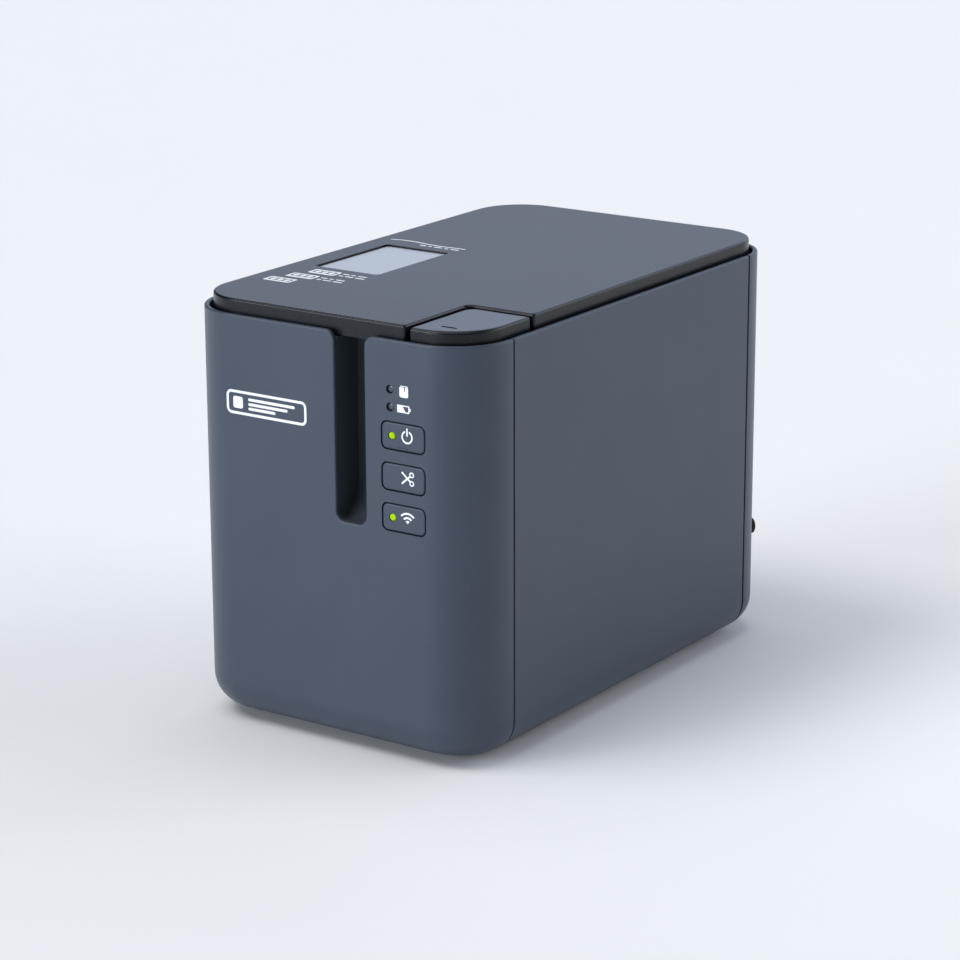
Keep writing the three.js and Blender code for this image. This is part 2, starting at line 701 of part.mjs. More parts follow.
class Helix extends THREE.Curve {
  constructor(radius, z0, z1, turns) {
    super();
    Object.assign(this, { radius, z0, z1, turns });
  }

  getPoint(t, target = new THREE.Vector3()) {
    const angle = 2 * Math.PI * this.turns * t;
    const z = THREE.MathUtils.lerp(this.z0, this.z1, t);
    return target.set(this.radius * Math.cos(angle), this.radius * Math.sin(angle), z);
  }
}

function releaseSpring() {
  const wireRadius = 0.35;
  const coilRadius = 3.5;
  const turns = 5;
  const wire = new THREE.Shape();
  wire.absarc(0, 0, wireRadius, 0, 2 * Math.PI);
  const path = new Helix(coilRadius, SPRING_Z[0] + wireRadius, SPRING_Z[1] - wireRadius, turns);
  const options = { extrudePath: path, steps: 60, curveSegments: 3, bevelEnabled: false };
  return solid(new THREE.ExtrudeGeometry(wire, options));
}

const LATCH_GAP = 0.3 * Math.SQRT2; // along y, for 0.3 square to the sloping face

function latchSlider() {
  const plateX0 = 38;
  const plateX1 = 50;
  const plateTop = 124.5;
  const plateThickness = 3;
  const front = -86;
  const lip = [-60, -57.3];
  const plate = block([plateX0, plateX1], [front, lip[1]], [plateTop - plateThickness, plateTop]);
  const openingHalf = STEM_HALF + 0.6;
  const openingY = [-77, -68];
  const opening = block([STEM_X - openingHalf, STEM_X + openingHalf], openingY, TALL);
  const top = 131;
  const root = plateTop - 1;
  const wedge = polygon([
    [front, root],
    [WEDGE_SUM - LATCH_GAP - root, root],
    [WEDGE_SUM - LATCH_GAP - top, top],
    [front, top],
  ]);
  const rampHalf = 2;
  const ramp = plateX(wedge, [STEM_X - rampHalf, STEM_X + rampHalf]);
  const catchLip = block(HOOK_X, lip, [root, top]);
  return join(plate.subtract(opening), ramp, catchLip);
}

function addRelease() {
  const release = group();
  add(release, "release_button", releaseButton(), buttonGrey);
  add(release, "release_spring", releaseSpring(), steel, [STEM_X, STEM_Y, 0]);
  add(release, "latch_slider", latchSlider(), innerGrey);
}

// ---------------------------------------------------------------- keys and lights

const PANEL_FRONT = -DEPTH / 2;
const PANEL_BACK = PANEL_FRONT + WALL;

const KEY_POST_X = 33;

// A key cap in the panel's window, a flange behind the panel and a post to the switch.
function keySolid(hasLens) {
  const face = [PANEL_FRONT, PANEL_BACK + 1.6];
  const cap = plateY(keyOutline(0, -KEY_GAP), face);
  const flange = plateY(keyOutline(0, 1), [PANEL_BACK + 0.4, PANEL_BACK + 1.6]);
  const post = rodY(1.6, [PANEL_BACK + 1, PANEL_BACK + 2.7], [KEY_POST_X, 0], 12);
  const key = join(cap, flange, post);
  return hasLens ? key.subtract(rodY(LENS_RADIUS + 0.2, [-FAR, FAR], [LENS_X, 0], 16)) : key;
}

function lightPipe(length) {
  return rodY(LENS_RADIUS, [0, length], [0, 0], 16);
}

// A board behind the keys, cut away at its upper right for the latch; it carries a switch a key.
function keyBoard() {
  const thickness = 1.6;
  const front = PANEL_FRONT + 8;
  const boardY = [front, front + thickness];
  const left = 21;
  const low = 74;
  const lower = block([left, 43], boardY, [low, 118]);
  const upper = block([left, 36], boardY, [low, 130]);
  let board = lower.add(upper);
  const switchHalf = 3;
  const switchHeight = 2.5;
  for (const z of Object.values(KEY_CENTRES)) {
    const switchX = [KEY_POST_X - switchHalf, KEY_POST_X + switchHalf];
    const body = block(switchX, [front - switchHeight, front + 0.6], [z - switchHalf, z + switchHalf]);
    board = board.add(body);
  }
  return board;
}

function addKeys() {
  const keys = group();
  for (const [name, z] of Object.entries(KEY_CENTRES)) {
    const lit = name !== "cut";
    add(keys, `${name}_key`, keySolid(lit), caseGrey, [0, 0, z]);
    if (lit) {
      add(keys, `${name}_lens`, lightPipe(4.2), clearGreen, [LENS_X, PANEL_FRONT + 0.1, z]);
    }
  }
  for (const [name, z] of Object.entries(LIGHT_CENTRES)) {
    add(keys, `${name}_light_pipe`, lightPipe(7), clearDark, [LIGHT_X, PANEL_FRONT + 0.6, z]);
  }
  add(keys, "key_board", keyBoard(), boardGreen);
}

// ---------------------------------------------------------------- print mechanism

const TAPE_X = 10.3; // the tape runs forward along this line
const HEAD_Z = [90, 132];
const PLATEN_RADIUS = 5;
const SHAFT_RADIUS = 1.4;
const GEAR_PIN_RADIUS = 1.5;
const PLATE_Z = [72, 73.5];

function gearSolid(teeth, [z0, z1], boreRadius) {
  const gear = plateZ(polygon(toothPoints(teeth, teeth, 0)), [z0, z1]);
  return gear.subtract(rodZ(boreRadius, [z0 - 1, z1 + 1], [0, 0], 16));
}

function headBracket() {
  const back = block([5, 8], [-72.5, -56.5], [86, 133]);
  const foot = block([5, 8], [-74.5, -72], [PLATE_Z[1] + 0.3, 133]);
  return back.add(foot);
}

function printHead() {
  const sink = block([8.3, 9.6], [-70, -58.5], [88, HEAD_Z[1]]);
  const heaterLine = block([9.3, TAPE_X - 0.3], [-64, -62], [HEAD_Z[0] + 2, HEAD_Z[1] - 2]);
  return sink.add(heaterLine);
}

const HOLDER_PIN_RADIUS = 2;

// Two arms joined by an upright web, hung on one pin: it swings the platen off the head.
function rollerHolder() {
  const [pivotX, pivotY] = HOLDER_PIVOT;
  const [rollerX, rollerY] = SPOT.platen;
  const pivotEnd = 4;
  const rollerEnd = 3.4;
  const webX = [21.5, 23.5];
  const webY = [rollerY - rollerEnd, pivotY - pivotEnd];
  const lowZ = [85, 87.5];
  const highZ = [132.6, 135];
  const arm = new THREE.Shape();
  arm.absarc(pivotX, pivotY, pivotEnd, 0, Math.PI);
  arm.lineTo(rollerX - rollerEnd, rollerY);
  arm.absarc(rollerX, rollerY, rollerEnd, Math.PI, 1.5 * Math.PI);
  arm.lineTo(webX[1], webY[0]);
  arm.lineTo(webX[1], webY[1]);
  const low = plateZ(arm, lowZ);
  const high = plateZ(arm, highZ);
  const web = block(webX, webY, [lowZ[0] + 0.5, highZ[1] - 0.5]);
  const pivotBore = rodZ(HOLDER_PIN_RADIUS + 0.3, [0, FAR], HOLDER_PIVOT, 16);
  const rollerBore = rodZ(SHAFT_RADIUS + 0.3, [0, FAR], SPOT.platen, 16);
  return join(low, high, web).subtract(pivotBore).subtract(rollerBore);
}

// The motor drives the platen and the ribbon spindle through gears that turn on this plate.
function gearPlate() {
  let plate = block([-28, 24], [-75.2, -20], PLATE_Z);
  const root = PLATE_Z[0] + 0.5;
  for (const [spot, radius, top] of [
    [SPOT.idler_a, GEAR_PIN_RADIUS, GEAR_Z[1] + 1],
    [SPOT.idler_b, GEAR_PIN_RADIUS, GEAR_Z[1] + 1],
    [SPOT.ribbon, GEAR_PIN_RADIUS, 98],
    [HOLDER_PIVOT, HOLDER_PIN_RADIUS, 138],
  ]) {
    plate = plate.add(rodZ(radius, [root, top], spot, 16));
  }
  const pinionHole = 3;
  return plate.subtract(rodZ(pinionHole, [0, FAR], SPOT.pinion, 16));
}

const MOTOR_Z = [40, 71.5];

function driveMotor() {
  const can = rodZ(12, MOTOR_Z, [0, 0], 28);
  const shaftHole = rodZ(1.5, [MOTOR_Z[1] - 6, MOTOR_Z[1] + 1], [0, 0], 12);
  return can.subtract(shaftHole);
}

function motorPinion() {
  const gear = plateZ(polygon(toothPoints(TEETH.pinion, TEETH.pinion, 0)), GEAR_Z);
  return gear.add(rodZ(1.1, [MOTOR_Z[1] - 5, GEAR_Z[0] + 1], [0, 0], 12));
}

// A gear below the tub's floor, with a six-ribbed spindle that rises into the cassette.
function ribbonSpindle() {
  const postTop = 104;
  const ribs = { across: 7.6, width: 0.9, height: 12, middle: 96 };
  const post = rodZ(3.2, [GEAR_Z[1] - 1, postTop], [0, 0], 16);
  const gear = plateZ(polygon(toothPoints(TEETH.ribbon, TEETH.ribbon, 0)), GEAR_Z);
  let spindle = gear.add(post);
  for (let i = 0; i < 3; i += 1) {
    const bar = new THREE.BoxGeometry(ribs.across, ribs.width, ribs.height);
    bar.rotateZ((i * Math.PI) / 3).translate(0, 0, ribs.middle);
    spindle = spindle.add(solid(bar));
  }
  return spindle.subtract(rodZ(GEAR_PIN_RADIUS + 0.25, [0, postTop - 5], [0, 0], 16));
}

function addMechanism() {
  const mechanism = group();
  add(mechanism, "gear_plate", gearPlate(), steel);
  add(mechanism, "drive_motor", driveMotor(), steel, [...SPOT.pinion, 0]);
  add(mechanism, "head_bracket", headBracket(), steel);
  add(mechanism, "print_head", printHead(), steel);
  add(mechanism, "roller_holder", rollerHolder(), darkPlastic);

  const platen = group(mechanism, [...SPOT.platen, 0]);
  const bored = rodZ(PLATEN_RADIUS, HEAD_Z, [0, 0], 28);
  const roller = bored.subtract(rodZ(SHAFT_RADIUS + 0.15, [0, FAR], [0, 0], 16));
  add(platen, "platen_roller", roller, rubber);
  add(platen, "platen_shaft", rodZ(SHAFT_RADIUS, [74.2, 134.5], [0, 0], 16), steel);
  add(platen, "platen_gear", gearSolid(TEETH.platen, GEAR_Z, SHAFT_RADIUS + 0.15), gearWhite);

  const bore = GEAR_PIN_RADIUS + 0.2;
  const phaseA = meshedPhase("platen", "idler_a", 0);
  const phasePinion = meshedPhase("idler_a", "pinion", phaseA);
  const phaseB = meshedPhase("idler_a", "idler_b", phaseA);
  const phaseRibbon = meshedPhase("idler_b", "ribbon", phaseB);
  for (const [node, spot, manifold, material, phase] of [
    ["idler_gear_a", "idler_a", gearSolid(TEETH.idler_a, GEAR_Z, bore), gearWhite, phaseA],
    ["idler_gear_b", "idler_b", gearSolid(TEETH.idler_b, GEAR_Z, bore), gearWhite, phaseB],
    ["motor_pinion", "pinion", motorPinion(), brass, phasePinion],
    ["ribbon_spindle", "ribbon", ribbonSpindle(), gearWhite, phaseRibbon],
  ]) {
    add(mechanism, node, manifold, material, [...SPOT[spot], 0]).rotation.z = phase;
  }
}

// ---------------------------------------------------------------- cutter

const CUTTER_FRAME_Y = [-79.5, -78.3];
const BLADE_Y = [-76.6, -75.6];
const SECTOR_RADIUS = SECTOR_TEETH / 2;
const PINION_DROP = SECTOR_RADIUS + CUTTER_PINION_TEETH / 2;
const CUTTER_MOTOR_RADIUS = 8;

function cutterFrame() {
  const width = [-2, 30];
  const height = [52, 130.5];
  const windowX = [TAPE_X - 1.8, TAPE_X + 2.4];
  const windowZ = [86, 128];
  const pinRadius = 1.5;
  const pinY = [CUTTER_FRAME_Y[0] + 0.5, BLADE_Y[1] + 0.4];
  const plate = block(width, CUTTER_FRAME_Y, height);
  const tapeWindow = block(windowX, [-FAR, FAR], windowZ);
  const pin = rodY(pinRadius, pinY, [BLADE_PIVOT.x, BLADE_PIVOT.z], 16);
  return plate.subtract(tapeWindow).add(pin);
}

// A lever about the pivot: the blade above it, a toothed sector below it. Upright as drawn.
function movingBlade() {
  const half = 4;
  const tip = [[half, 44], [half / 2, 48], [-half, 50]];
  const arm = polygon([[-half, 0], [half, 0], ...tip]);
  const sectorTeeth = 7;
  const sectorRoot = [0, 3];
  const boreRadius = 1.7;
  const teeth = toothPoints(SECTOR_TEETH, sectorTeeth, -Math.PI / 2);
  const sector = polygon([sectorRoot, ...teeth]);
  const lever = plateY(arm, BLADE_Y).add(plateY(sector, BLADE_Y)).add(rodY(half, BLADE_Y));
  return lever.subtract(rodY(boreRadius, [-FAR, FAR], [0, 0], 16));
}

function cutterPinion() {
  const gear = plateY(polygon(toothPoints(CUTTER_PINION_TEETH, CUTTER_PINION_TEETH, 0)), BLADE_Y);
  return gear.add(rodY(1, [BLADE_Y[1] - 0.5, -70], [0, 0], 12));
}

function cutterMotor() {
  const can = rodY(CUTTER_MOTOR_RADIUS, [-74, -50], [0, 0], 24);
  return can.subtract(rodY(1.4, [-75, -69], [0, 0], 12));
}

function addCutter() {
  const cutter = group();
  add(cutter, "cutter_frame", cutterFrame(), steel);
  add(cutter, "fixed_blade", block([6, 9.9], [-77.9, -76.9], [84, 130]), steel);
  const pivot = group(cutter, [BLADE_PIVOT.x, 0, BLADE_PIVOT.z]);
  add(pivot, "moving_blade", movingBlade(), steel).rotation.y = BLADE_LEAN;
  const drive = group(pivot, [0, 0, -PINION_DROP]);
  // At rest the sector is turned by the lean, so the pinion's phase follows from it.
  const pitch = (2 * Math.PI) / CUTTER_PINION_TEETH;
  const sectorTurn = (BLADE_LEAN * SECTOR_TEETH) / (2 * Math.PI);
  const phase = Math.PI / 2 - pitch * (0.5 - sectorTurn);
  add(drive, "cutter_pinion", cutterPinion(), brass).rotation.y = -phase;
  add(drive, "cutter_motor", cutterMotor(), steel);
}

// ---------------------------------------------------------------- boards and sockets

const SOCKET_Y = [80, DEPTH / 2 - 0.3];

function socketBody(width, height) {
  return block([-width / 2, width / 2], SOCKET_Y, [-height / 2, height / 2]);
}

function socket({ width, height }, [mouthWidth, mouthHeight], depth) {
  const mouth = block(
    [-mouthWidth / 2, mouthWidth / 2],
    [SOCKET_Y[1] - depth, SOCKET_Y[1] + 1],
    [-mouthHeight / 2, mouthHeight / 2],
  );
  return socketBody(width, height).subtract(mouth);
}

function powerSocket({ width, height }) {
  const end = SOCKET_Y[1];
  const depth = 9;
  const mouth = rodY(3.2, [end - depth, end + 1], [0, 0], 20);
  const pin = rodY(0.9, [end - depth - 0.5, end - 1], [0, 0], 10);
  return socketBody(width, height).subtract(mouth).add(pin);
}

// A tongue in the socket's mouth carries the contacts.
function withTongue(shell, [width, height], depth, lift) {
  const tongue = block(
    [-width / 2, width / 2],
    [SOCKET_Y[1] - depth - 0.5, SOCKET_Y[1] - 1],
    [lift - height / 2, lift + height / 2],
  );
  return shell.add(tongue);
}

function mainBoard() {
  const face = 50;
  const sunk = 0.3;
  const board = block([face, face + 1.6], [-55, 70], [14, 118]);
  const chip = block([face - 1.4, face + sunk], [-10, 12], [55, 77]);
  const capacitorRadius = 4;
  const capacitorHeight = 8;
  const capacitorZ = 40;
  const capacitors = [45, 57].map((y) => {
    return rodX(capacitorRadius, [face - capacitorHeight, face + sunk], [y, capacitorZ], 16);
  });
  return join(board, chip, ...capacitors);
}

function addElectronics() {
  const electronics = group();
  add(electronics, "main_board", mainBoard(), boardGreen);
  add(electronics, "wifi_module", block([47, 49.7], [30, 54], [80, 98]), steel);
  add(electronics, "io_board", block([-40, 42], [78, 79.6], [16, 46]), boardGreen);
  const sockets = {
    dc_jack: [powerSocket(PORTS.dc_jack), blackPlastic],
    usb_device_port: [
      withTongue(socket(PORTS.usb_device_port, [8.6, 7.9], 9), [5.6, 3.2], 9, 0),
      steel,
    ],
    usb_host_port: [
      withTongue(socket(PORTS.usb_host_port, [12.4, 5], 9), [11, 1.6], 9, 1.1),
      steel,
    ],
    lan_port: [socket(PORTS.lan_port, [11.8, 7.2], 12), steel],
    serial_port: [socket(PORTS.serial_port, [9.4, 7], 12), blackPlastic],
  };
  for (const [name, [manifold, material]] of Object.entries(sockets)) {
    add(electronics, name, manifold, material, [PORTS[name].x, 0, PORT_Z]);
  }
}

// ---------------------------------------------------------------- assembly

addCase();
addFrame();
addCover();
addRelease();
addKeys();
addMechanism();
addCutter();
addElectronics();

export default labelMaker;
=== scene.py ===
"""A desktop label maker: moulded case shells, hinged cover, keys, tape path and soft studio stage.

Lengths are in metres, in the frame's own axes: +Z up, the front faces -Y.
"""

import math

import bmesh
import bpy
from mathutils import Matrix, Vector


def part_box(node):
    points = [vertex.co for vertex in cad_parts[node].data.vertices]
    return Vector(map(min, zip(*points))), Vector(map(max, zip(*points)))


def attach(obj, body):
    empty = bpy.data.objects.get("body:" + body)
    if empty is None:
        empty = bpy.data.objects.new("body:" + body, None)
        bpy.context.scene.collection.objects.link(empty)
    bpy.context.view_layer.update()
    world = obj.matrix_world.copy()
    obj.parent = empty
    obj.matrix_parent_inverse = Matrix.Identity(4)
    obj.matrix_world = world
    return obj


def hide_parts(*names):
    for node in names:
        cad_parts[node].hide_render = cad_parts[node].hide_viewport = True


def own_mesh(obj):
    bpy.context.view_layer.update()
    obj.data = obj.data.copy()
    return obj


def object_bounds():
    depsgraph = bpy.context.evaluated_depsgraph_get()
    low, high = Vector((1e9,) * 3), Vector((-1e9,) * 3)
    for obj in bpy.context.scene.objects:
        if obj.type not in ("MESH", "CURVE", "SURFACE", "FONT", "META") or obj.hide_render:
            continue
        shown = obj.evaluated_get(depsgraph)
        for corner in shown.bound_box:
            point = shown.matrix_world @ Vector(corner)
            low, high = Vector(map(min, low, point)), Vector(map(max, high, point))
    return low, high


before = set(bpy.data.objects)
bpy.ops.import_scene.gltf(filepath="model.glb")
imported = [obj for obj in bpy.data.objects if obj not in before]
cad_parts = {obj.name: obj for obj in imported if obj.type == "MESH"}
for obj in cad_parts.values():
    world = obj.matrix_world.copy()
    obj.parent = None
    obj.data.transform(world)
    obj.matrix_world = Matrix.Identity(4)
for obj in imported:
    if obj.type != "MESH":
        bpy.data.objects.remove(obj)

bl_info = {
    "name": "Desktop Label Maker",
    "version": (1, 0, 0),
    "blender": (4, 5, 0),
    "location": "View3D > Sidebar > Label Maker",
    "description": "Builds the visible pieces of a desktop label maker around its frame",
    "category": "Add Mesh",
}

CAD_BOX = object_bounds()
MM = 0.001
HOUSING = "housing"

HIGH = Vector(CAD_BOX[1])
HALF_WIDTH = HIGH.x
HALF_DEPTH = HIGH.y
TOP_Z = HIGH.z
FRONT_LOW, FRONT_HIGH = (Vector(corner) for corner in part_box("front_panel"))
REAR_LOW, REAR_HIGH = (Vector(corner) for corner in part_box("rear_panel"))
RIGHT_LOW, RIGHT_HIGH = (Vector(corner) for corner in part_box("right_cover"))
COVER_LOW, COVER_HIGH = (Vector(corner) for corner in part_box("top_cover"))
BUTTON_LOW, BUTTON_HIGH = (Vector(corner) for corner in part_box("release_button"))
CASE_FLOOR = FRONT_LOW.z
RIM_TOP = FRONT_HIGH.z


# ---------------------------------------------------------------- colours and settings


def linear(hex_colour):
    """Turns an sRGB hex colour into linear red, green, blue and alpha."""
    channels = []
    for start in (1, 3, 5):
        value = int(hex_colour[start:start + 2], 16) / 255
        if value <= 0.04045:
            channels.append(value / 12.92)
        else:
            channels.append(((value + 0.055) / 1.055) ** 2.4)
    return (*channels, 1.0)


def length(name, description, default):
    """A length that the user can change, in metres."""
    return bpy.props.FloatProperty(
        name=name, description=description, default=default, min=0.0, unit="LENGTH", precision=5
    )


def colour(name, description, hex_colour):
    """A colour that the user can change, given as sRGB hex."""
    return bpy.props.FloatVectorProperty(
        name=name,
        description=description,
        default=linear(hex_colour),
        size=4,
        subtype="COLOR",
        min=0,
        max=1,
    )


class LabelMakerSizes(bpy.types.PropertyGroup):
    """Sizes that set the look of the shells."""

    corner_radius: length("Corner radius", "Radius of the case's vertical corners", 20.6 * MM)
    base_radius: length("Base radius", "Radius of the case's bottom edge", 11.5 * MM)
    wall: length("Wall", "Thickness of the case and cover walls", 1.8 * MM)
    rim_softening: length("Rim softening", "Rounding of the case's rim and of the tape slot", 0.6 * MM)
    softening: length("Edge softening", "Rounding of the seams and of the small openings", 0.25 * MM)
    slot_radius: length("Slot radius", "Radius of the tape slot's corners", 3.5 * MM)
    key_radius: length("Key radius", "Radius of the key windows' corners", 2.3 * MM)
    key_gap: length("Key gap", "Gap between a key and its window", 0.42 * MM)
    ink: length("Ink thickness", "How far printed marks stand above the plastic", 0.03 * MM)
    skin: length("Skin allowance", "How far the visible shells lie inside the frame's box", 0.05 * MM)


class LabelMakerColours(bpy.types.PropertyGroup):
    """Colours of the finishes."""

    case: colour("Case", "Slate grey of the case shells", "#3d4755")
    cover: colour("Cover", "Slate grey of the top", "#3d4652")
    # The button's paler slate is painted light: it stands in for the extra light its top catches.
    button: colour("Button", "Paler slate of the release button's top", "#56606e")
    trim: colour("Trim", "Charcoal of the cover's side wall", "#10141b")
    chute: colour("Chute", "Dark slate of the tape chute", "#3d434c")
    ink: colour("Ink", "White of the printed marks", "#f6f9fb")
    window: colour("Window", "Pale grey of the frosted window", "#a6aeb6")
    lamp: colour("Lamp", "Yellow green of the lit key lights", "#9cc400")
    dark_lens: colour("Unlit lens", "Smoke grey of the unlit lights", "#444d5b")
    rubber: colour("Rubber", "Black of the feet and bumpers", "#151617")
    inner: colour("Inner plastic", "Grey of the cassette tub and slider", "#777c83")
    gear: colour("Gears", "Off white of the gears", "#d8d4c8")
    board: colour("Circuit board", "Green solder mask", "#124a2b")
    floor: colour("Floor", "Pale studio floor", "#fafafa")


def sizes():
    return bpy.context.scene.label_maker_sizes


def colours():
    return bpy.context.scene.label_maker_colours


# ---------------------------------------------------------------- material nodes

DRIFT_SCALE = 60  # the slow drift in tint is this many times coarser than the grain
DRIFT_SHARE = 0.35
GLOSS_SPREAD = 0.05


def add_node(tree, kind, values=None, links=None, **settings):
    """Adds one shader node with its settings, socket values and incoming links."""
    node = tree.nodes.new(kind)
    for name, value in settings.items():
        setattr(node, name, value)
    for name, value in (values or {}).items():
        node.inputs[name].default_value = value
    for name, source in (links or {}).items():
        tree.links.new(source, node.inputs[name])
    return node


def empty_material(name):
    material = bpy.data.materials.new(name)
    material.use_nodes = True
    material.node_tree.nodes.clear()
    return material


def per_metre(millimetres):
    """Noise scale whose features are the given size."""
    return 1.0 / (millimetres * MM)


def grained(name, tint, roughness, grain_mm, grain_depth_mm, mottle=0.06, ior=1.5, **shader_values):
    """A surface with a fine grain: bump, a slight mottle in colour and in gloss.

    Real moulded grain is finer than this; it is drawn at grain_mm so that it shows."""
    material = empty_material(name)
    tree = material.node_tree
    place = add_node(tree, "ShaderNodeTexCoord").outputs["Object"]
    grain = add_node(
        tree,
        "ShaderNodeTexNoise",
        {"Scale": per_metre(grain_mm), "Detail": 3.0, "Roughness": 0.6},
        {"Vector": place},
    )
    drift = add_node(
        tree,
        "ShaderNodeTexNoise",
        {"Scale": per_metre(grain_mm * DRIFT_SCALE), "Detail": 2.0},
        {"Vector": place},
    )
    mixed = add_node(
        tree,
        "ShaderNodeMix",
        {"Factor": DRIFT_SHARE},
        {"A": grain.outputs["Fac"], "B": drift.outputs["Fac"]},
        data_type="FLOAT",
    )
    dark = [channel * (1 - mottle) for channel in tint[:3]]
    light = [min(1.0, channel * (1 + mottle)) for channel in tint[:3]]
    shade = add_node(tree, "ShaderNodeValToRGB", None, {"Fac": mixed.outputs["Result"]})
    shade.color_ramp.elements[0].position = 0.3
    shade.color_ramp.elements[0].color = (*dark, 1.0)
    shade.color_ramp.elements[1].position = 0.7
    shade.color_ramp.elements[1].color = (*light, 1.0)
    gloss = add_node(
        tree,
        "ShaderNodeMapRange",
        {"To Min": roughness - GLOSS_SPREAD, "To Max": roughness + GLOSS_SPREAD},
        {"Value": mixed.outputs["Result"]},
    )
    bump = add_node(
        tree,
        "ShaderNodeBump",
        {"Strength": 1.0, "Distance": grain_depth_mm * MM},
        {"Height": grain.outputs["Fac"]},
    )
    shader = add_node(
        tree,
        "ShaderNodeBsdfPrincipled",
        {"IOR": ior, **shader_values},
        {
            "Base Color": shade.outputs["Color"],
            "Roughness": gloss.outputs["Result"],
            "Normal": bump.outputs["Normal"],
        },
    )
    add_node(tree, "ShaderNodeOutputMaterial", None, {"Surface": shader.outputs["BSDF"]})
    return material


def moulded_case_abs():
    """ABS moulded against a spark-textured tool: matte slate grey with a fine, soft-edged grain.

    The real grain is about 0.15 mm; it is drawn at 0.5 mm, so that it shows."""
    return grained(
        "moulded_case_abs", colours().case, 0.38, 0.5, 0.012, mottle=0.14,
        **{"Specular IOR Level": 0.4},
    )


def moulded_cover_abs():
    """The same ABS on the top, moulded with a coarser spark texture: pale specks and a soft sheen."""
    return grained("moulded_cover_abs", colours().cover, 0.42, 0.7, 0.04, mottle=0.3)


def button_abs_painted_light():
    """The release button's top: the cover's texture in a paler slate, which is painted light: the paler
    colour stands in for the extra light the top catches.
    """
    return grained("button_abs_painted_light", colours().button, 0.38, 0.7, 0.04, mottle=0.2)


def charcoal_trim_abs():
    """ABS moulded in charcoal against a smooth tool: near black, with a shine along its edges."""
    return grained(
        "charcoal_trim_abs", colours().trim, 0.27, 0.6, 0.002, mottle=0.15,
        **{"Specular IOR Level": 0.3},
    )


def black_inner_abs():
    """Black ABS of the deck and the liner: satin, it swallows the light."""
    return grained("black_inner_abs", linear("#15161a"), 0.42, 0.5, 0.01, mottle=0.1)


def dark_chute_abs():
    """Slate ABS of the tape chute, moulded smooth so that the tape slides: satin in deep shade."""
    return grained("dark_chute_abs", colours().chute, 0.38, 0.6, 0.006, mottle=0.12)


def grey_inner_abs():
    """Plain grey ABS of the cassette tub, moulded with a light grain."""
    return grained("grey_inner_abs", colours().inner, 0.5, 0.5, 0.01)


def natural_acetal():
    """Moulded acetal gears: waxy off-white with a soft shine."""
    return grained("natural_acetal", colours().gear, 0.35, 1.2, 0.004, mottle=0.03)


def moulded_rubber():
    """Moulded rubber: almost black, and dull."""
    return grained("moulded_rubber", colours().rubber, 0.8, 0.4, 0.02, mottle=0.15)


def platen_rubber():
    """Ground silicone rubber of the platen: dark grey and dull, with a fine grain."""
    return grained("platen_rubber", linear("#2a2b2d"), 0.65, 0.3, 0.01, mottle=0.1)


def screen_ink():
    """Screen-printed white ink: a thin, slightly uneven satin film."""
    return grained("screen_ink", colours().ink, 0.5, 0.35, 0.004, mottle=0.05)


def frosted_polycarbonate():
    """Polycarbonate sheet frosted on its underside: pale, with a glossy face over a soft body."""
    return grained(
        "frosted_polycarbonate", colours().window, 0.22, 1.0, 0.002, mottle=0.02, ior=1.58,
        **{"Coat Weight": 0.4, "Coat Roughness": 0.08},
    )


def solder_mask():
    """Glass-fibre laminate under green solder mask: glossy and slightly uneven."""
    return grained("solder_mask", colours().board, 0.3, 0.8, 0.01, mottle=0.2)


def zinc_plated_steel():
    """Rolled steel sheet with a zinc plate: fine streaks along the sheet."""
    material = empty_material("zinc_plated_steel")
    tree = material.node_tree
    place = add_node(tree, "ShaderNodeTexCoord").outputs["Object"]
    stretched = add_node(
        tree, "ShaderNodeMapping", {"Scale": (1.0, 1.0, 0.06)}, {"Vector": place}
    )
    streaks = add_node(
        tree,
        "ShaderNodeTexNoise",
        {"Scale": per_metre(0.3), "Detail": 3.0},
        {"Vector": stretched.outputs["Vector"]},
    )
    shade = add_node(tree, "ShaderNodeValToRGB", None, {"Fac": streaks.outputs["Fac"]})
    shade.color_ramp.elements[0].color = linear("#8f9296")
    shade.color_ramp.elements[1].color = linear("#c3c5c8")
    gloss = add_node(
        tree, "ShaderNodeMapRange", {"To Min": 0.25, "To Max": 0.42}, {"Value": streaks.outputs["Fac"]}
    )
    shader = add_node(
        tree,
        "ShaderNodeBsdfPrincipled",
        {"Metallic": 1.0},
        {"Base Color": shade.outputs["Color"], "Roughness": gloss.outputs["Result"]},
    )
    add_node(tree, "ShaderNodeOutputMaterial", None, {"Surface": shader.outputs["BSDF"]})
    return material


def turned_brass():
    """Brass pinions turned on a lathe: warm yellow and bright, with a fine grain."""
    return grained("turned_brass", linear("#b08d45"), 0.3, 0.3, 0.004, mottle=0.12, Metallic=1.0)


def lit_light_pipe():
    """Clear acrylic light pipe with a yellow-green lamp behind it: the whole face glows."""
    lamp = colours().lamp
    return grained(
        "lit_light_pipe", lamp, 0.5, 0.4, 0.002, mottle=0.1,
        **{"Emission Color": tuple(lamp), "Emission Strength": 0.3, "Specular IOR Level": 0.1},
    )


def unlit_light_pipe():
    """The same acrylic pipe with its lamp off: it looks dark grey in its hole."""
    return grained("unlit_light_pipe", colours().dark_lens, 0.2, 0.4, 0.002, mottle=0.1)


def matte_studio_paper():
    """Rolled background paper: uncoated and pale, without any shine."""
    return grained("matte_studio_paper", colours().floor, 0.9, 2.0, 0.01, mottle=0.01)


MATERIAL_MAKERS = (
    moulded_case_abs,
    moulded_cover_abs,
    button_abs_painted_light,
    charcoal_trim_abs,
    black_inner_abs,
    dark_chute_abs,
    grey_inner_abs,
    natural_acetal,
    moulded_rubber,
    platen_rubber,
    screen_ink,
    frosted_polycarbonate,
    solder_mask,
    zinc_plated_steel,
    turned_brass,
    lit_light_pipe,
    unlit_light_pipe,
    matte_studio_paper,
)


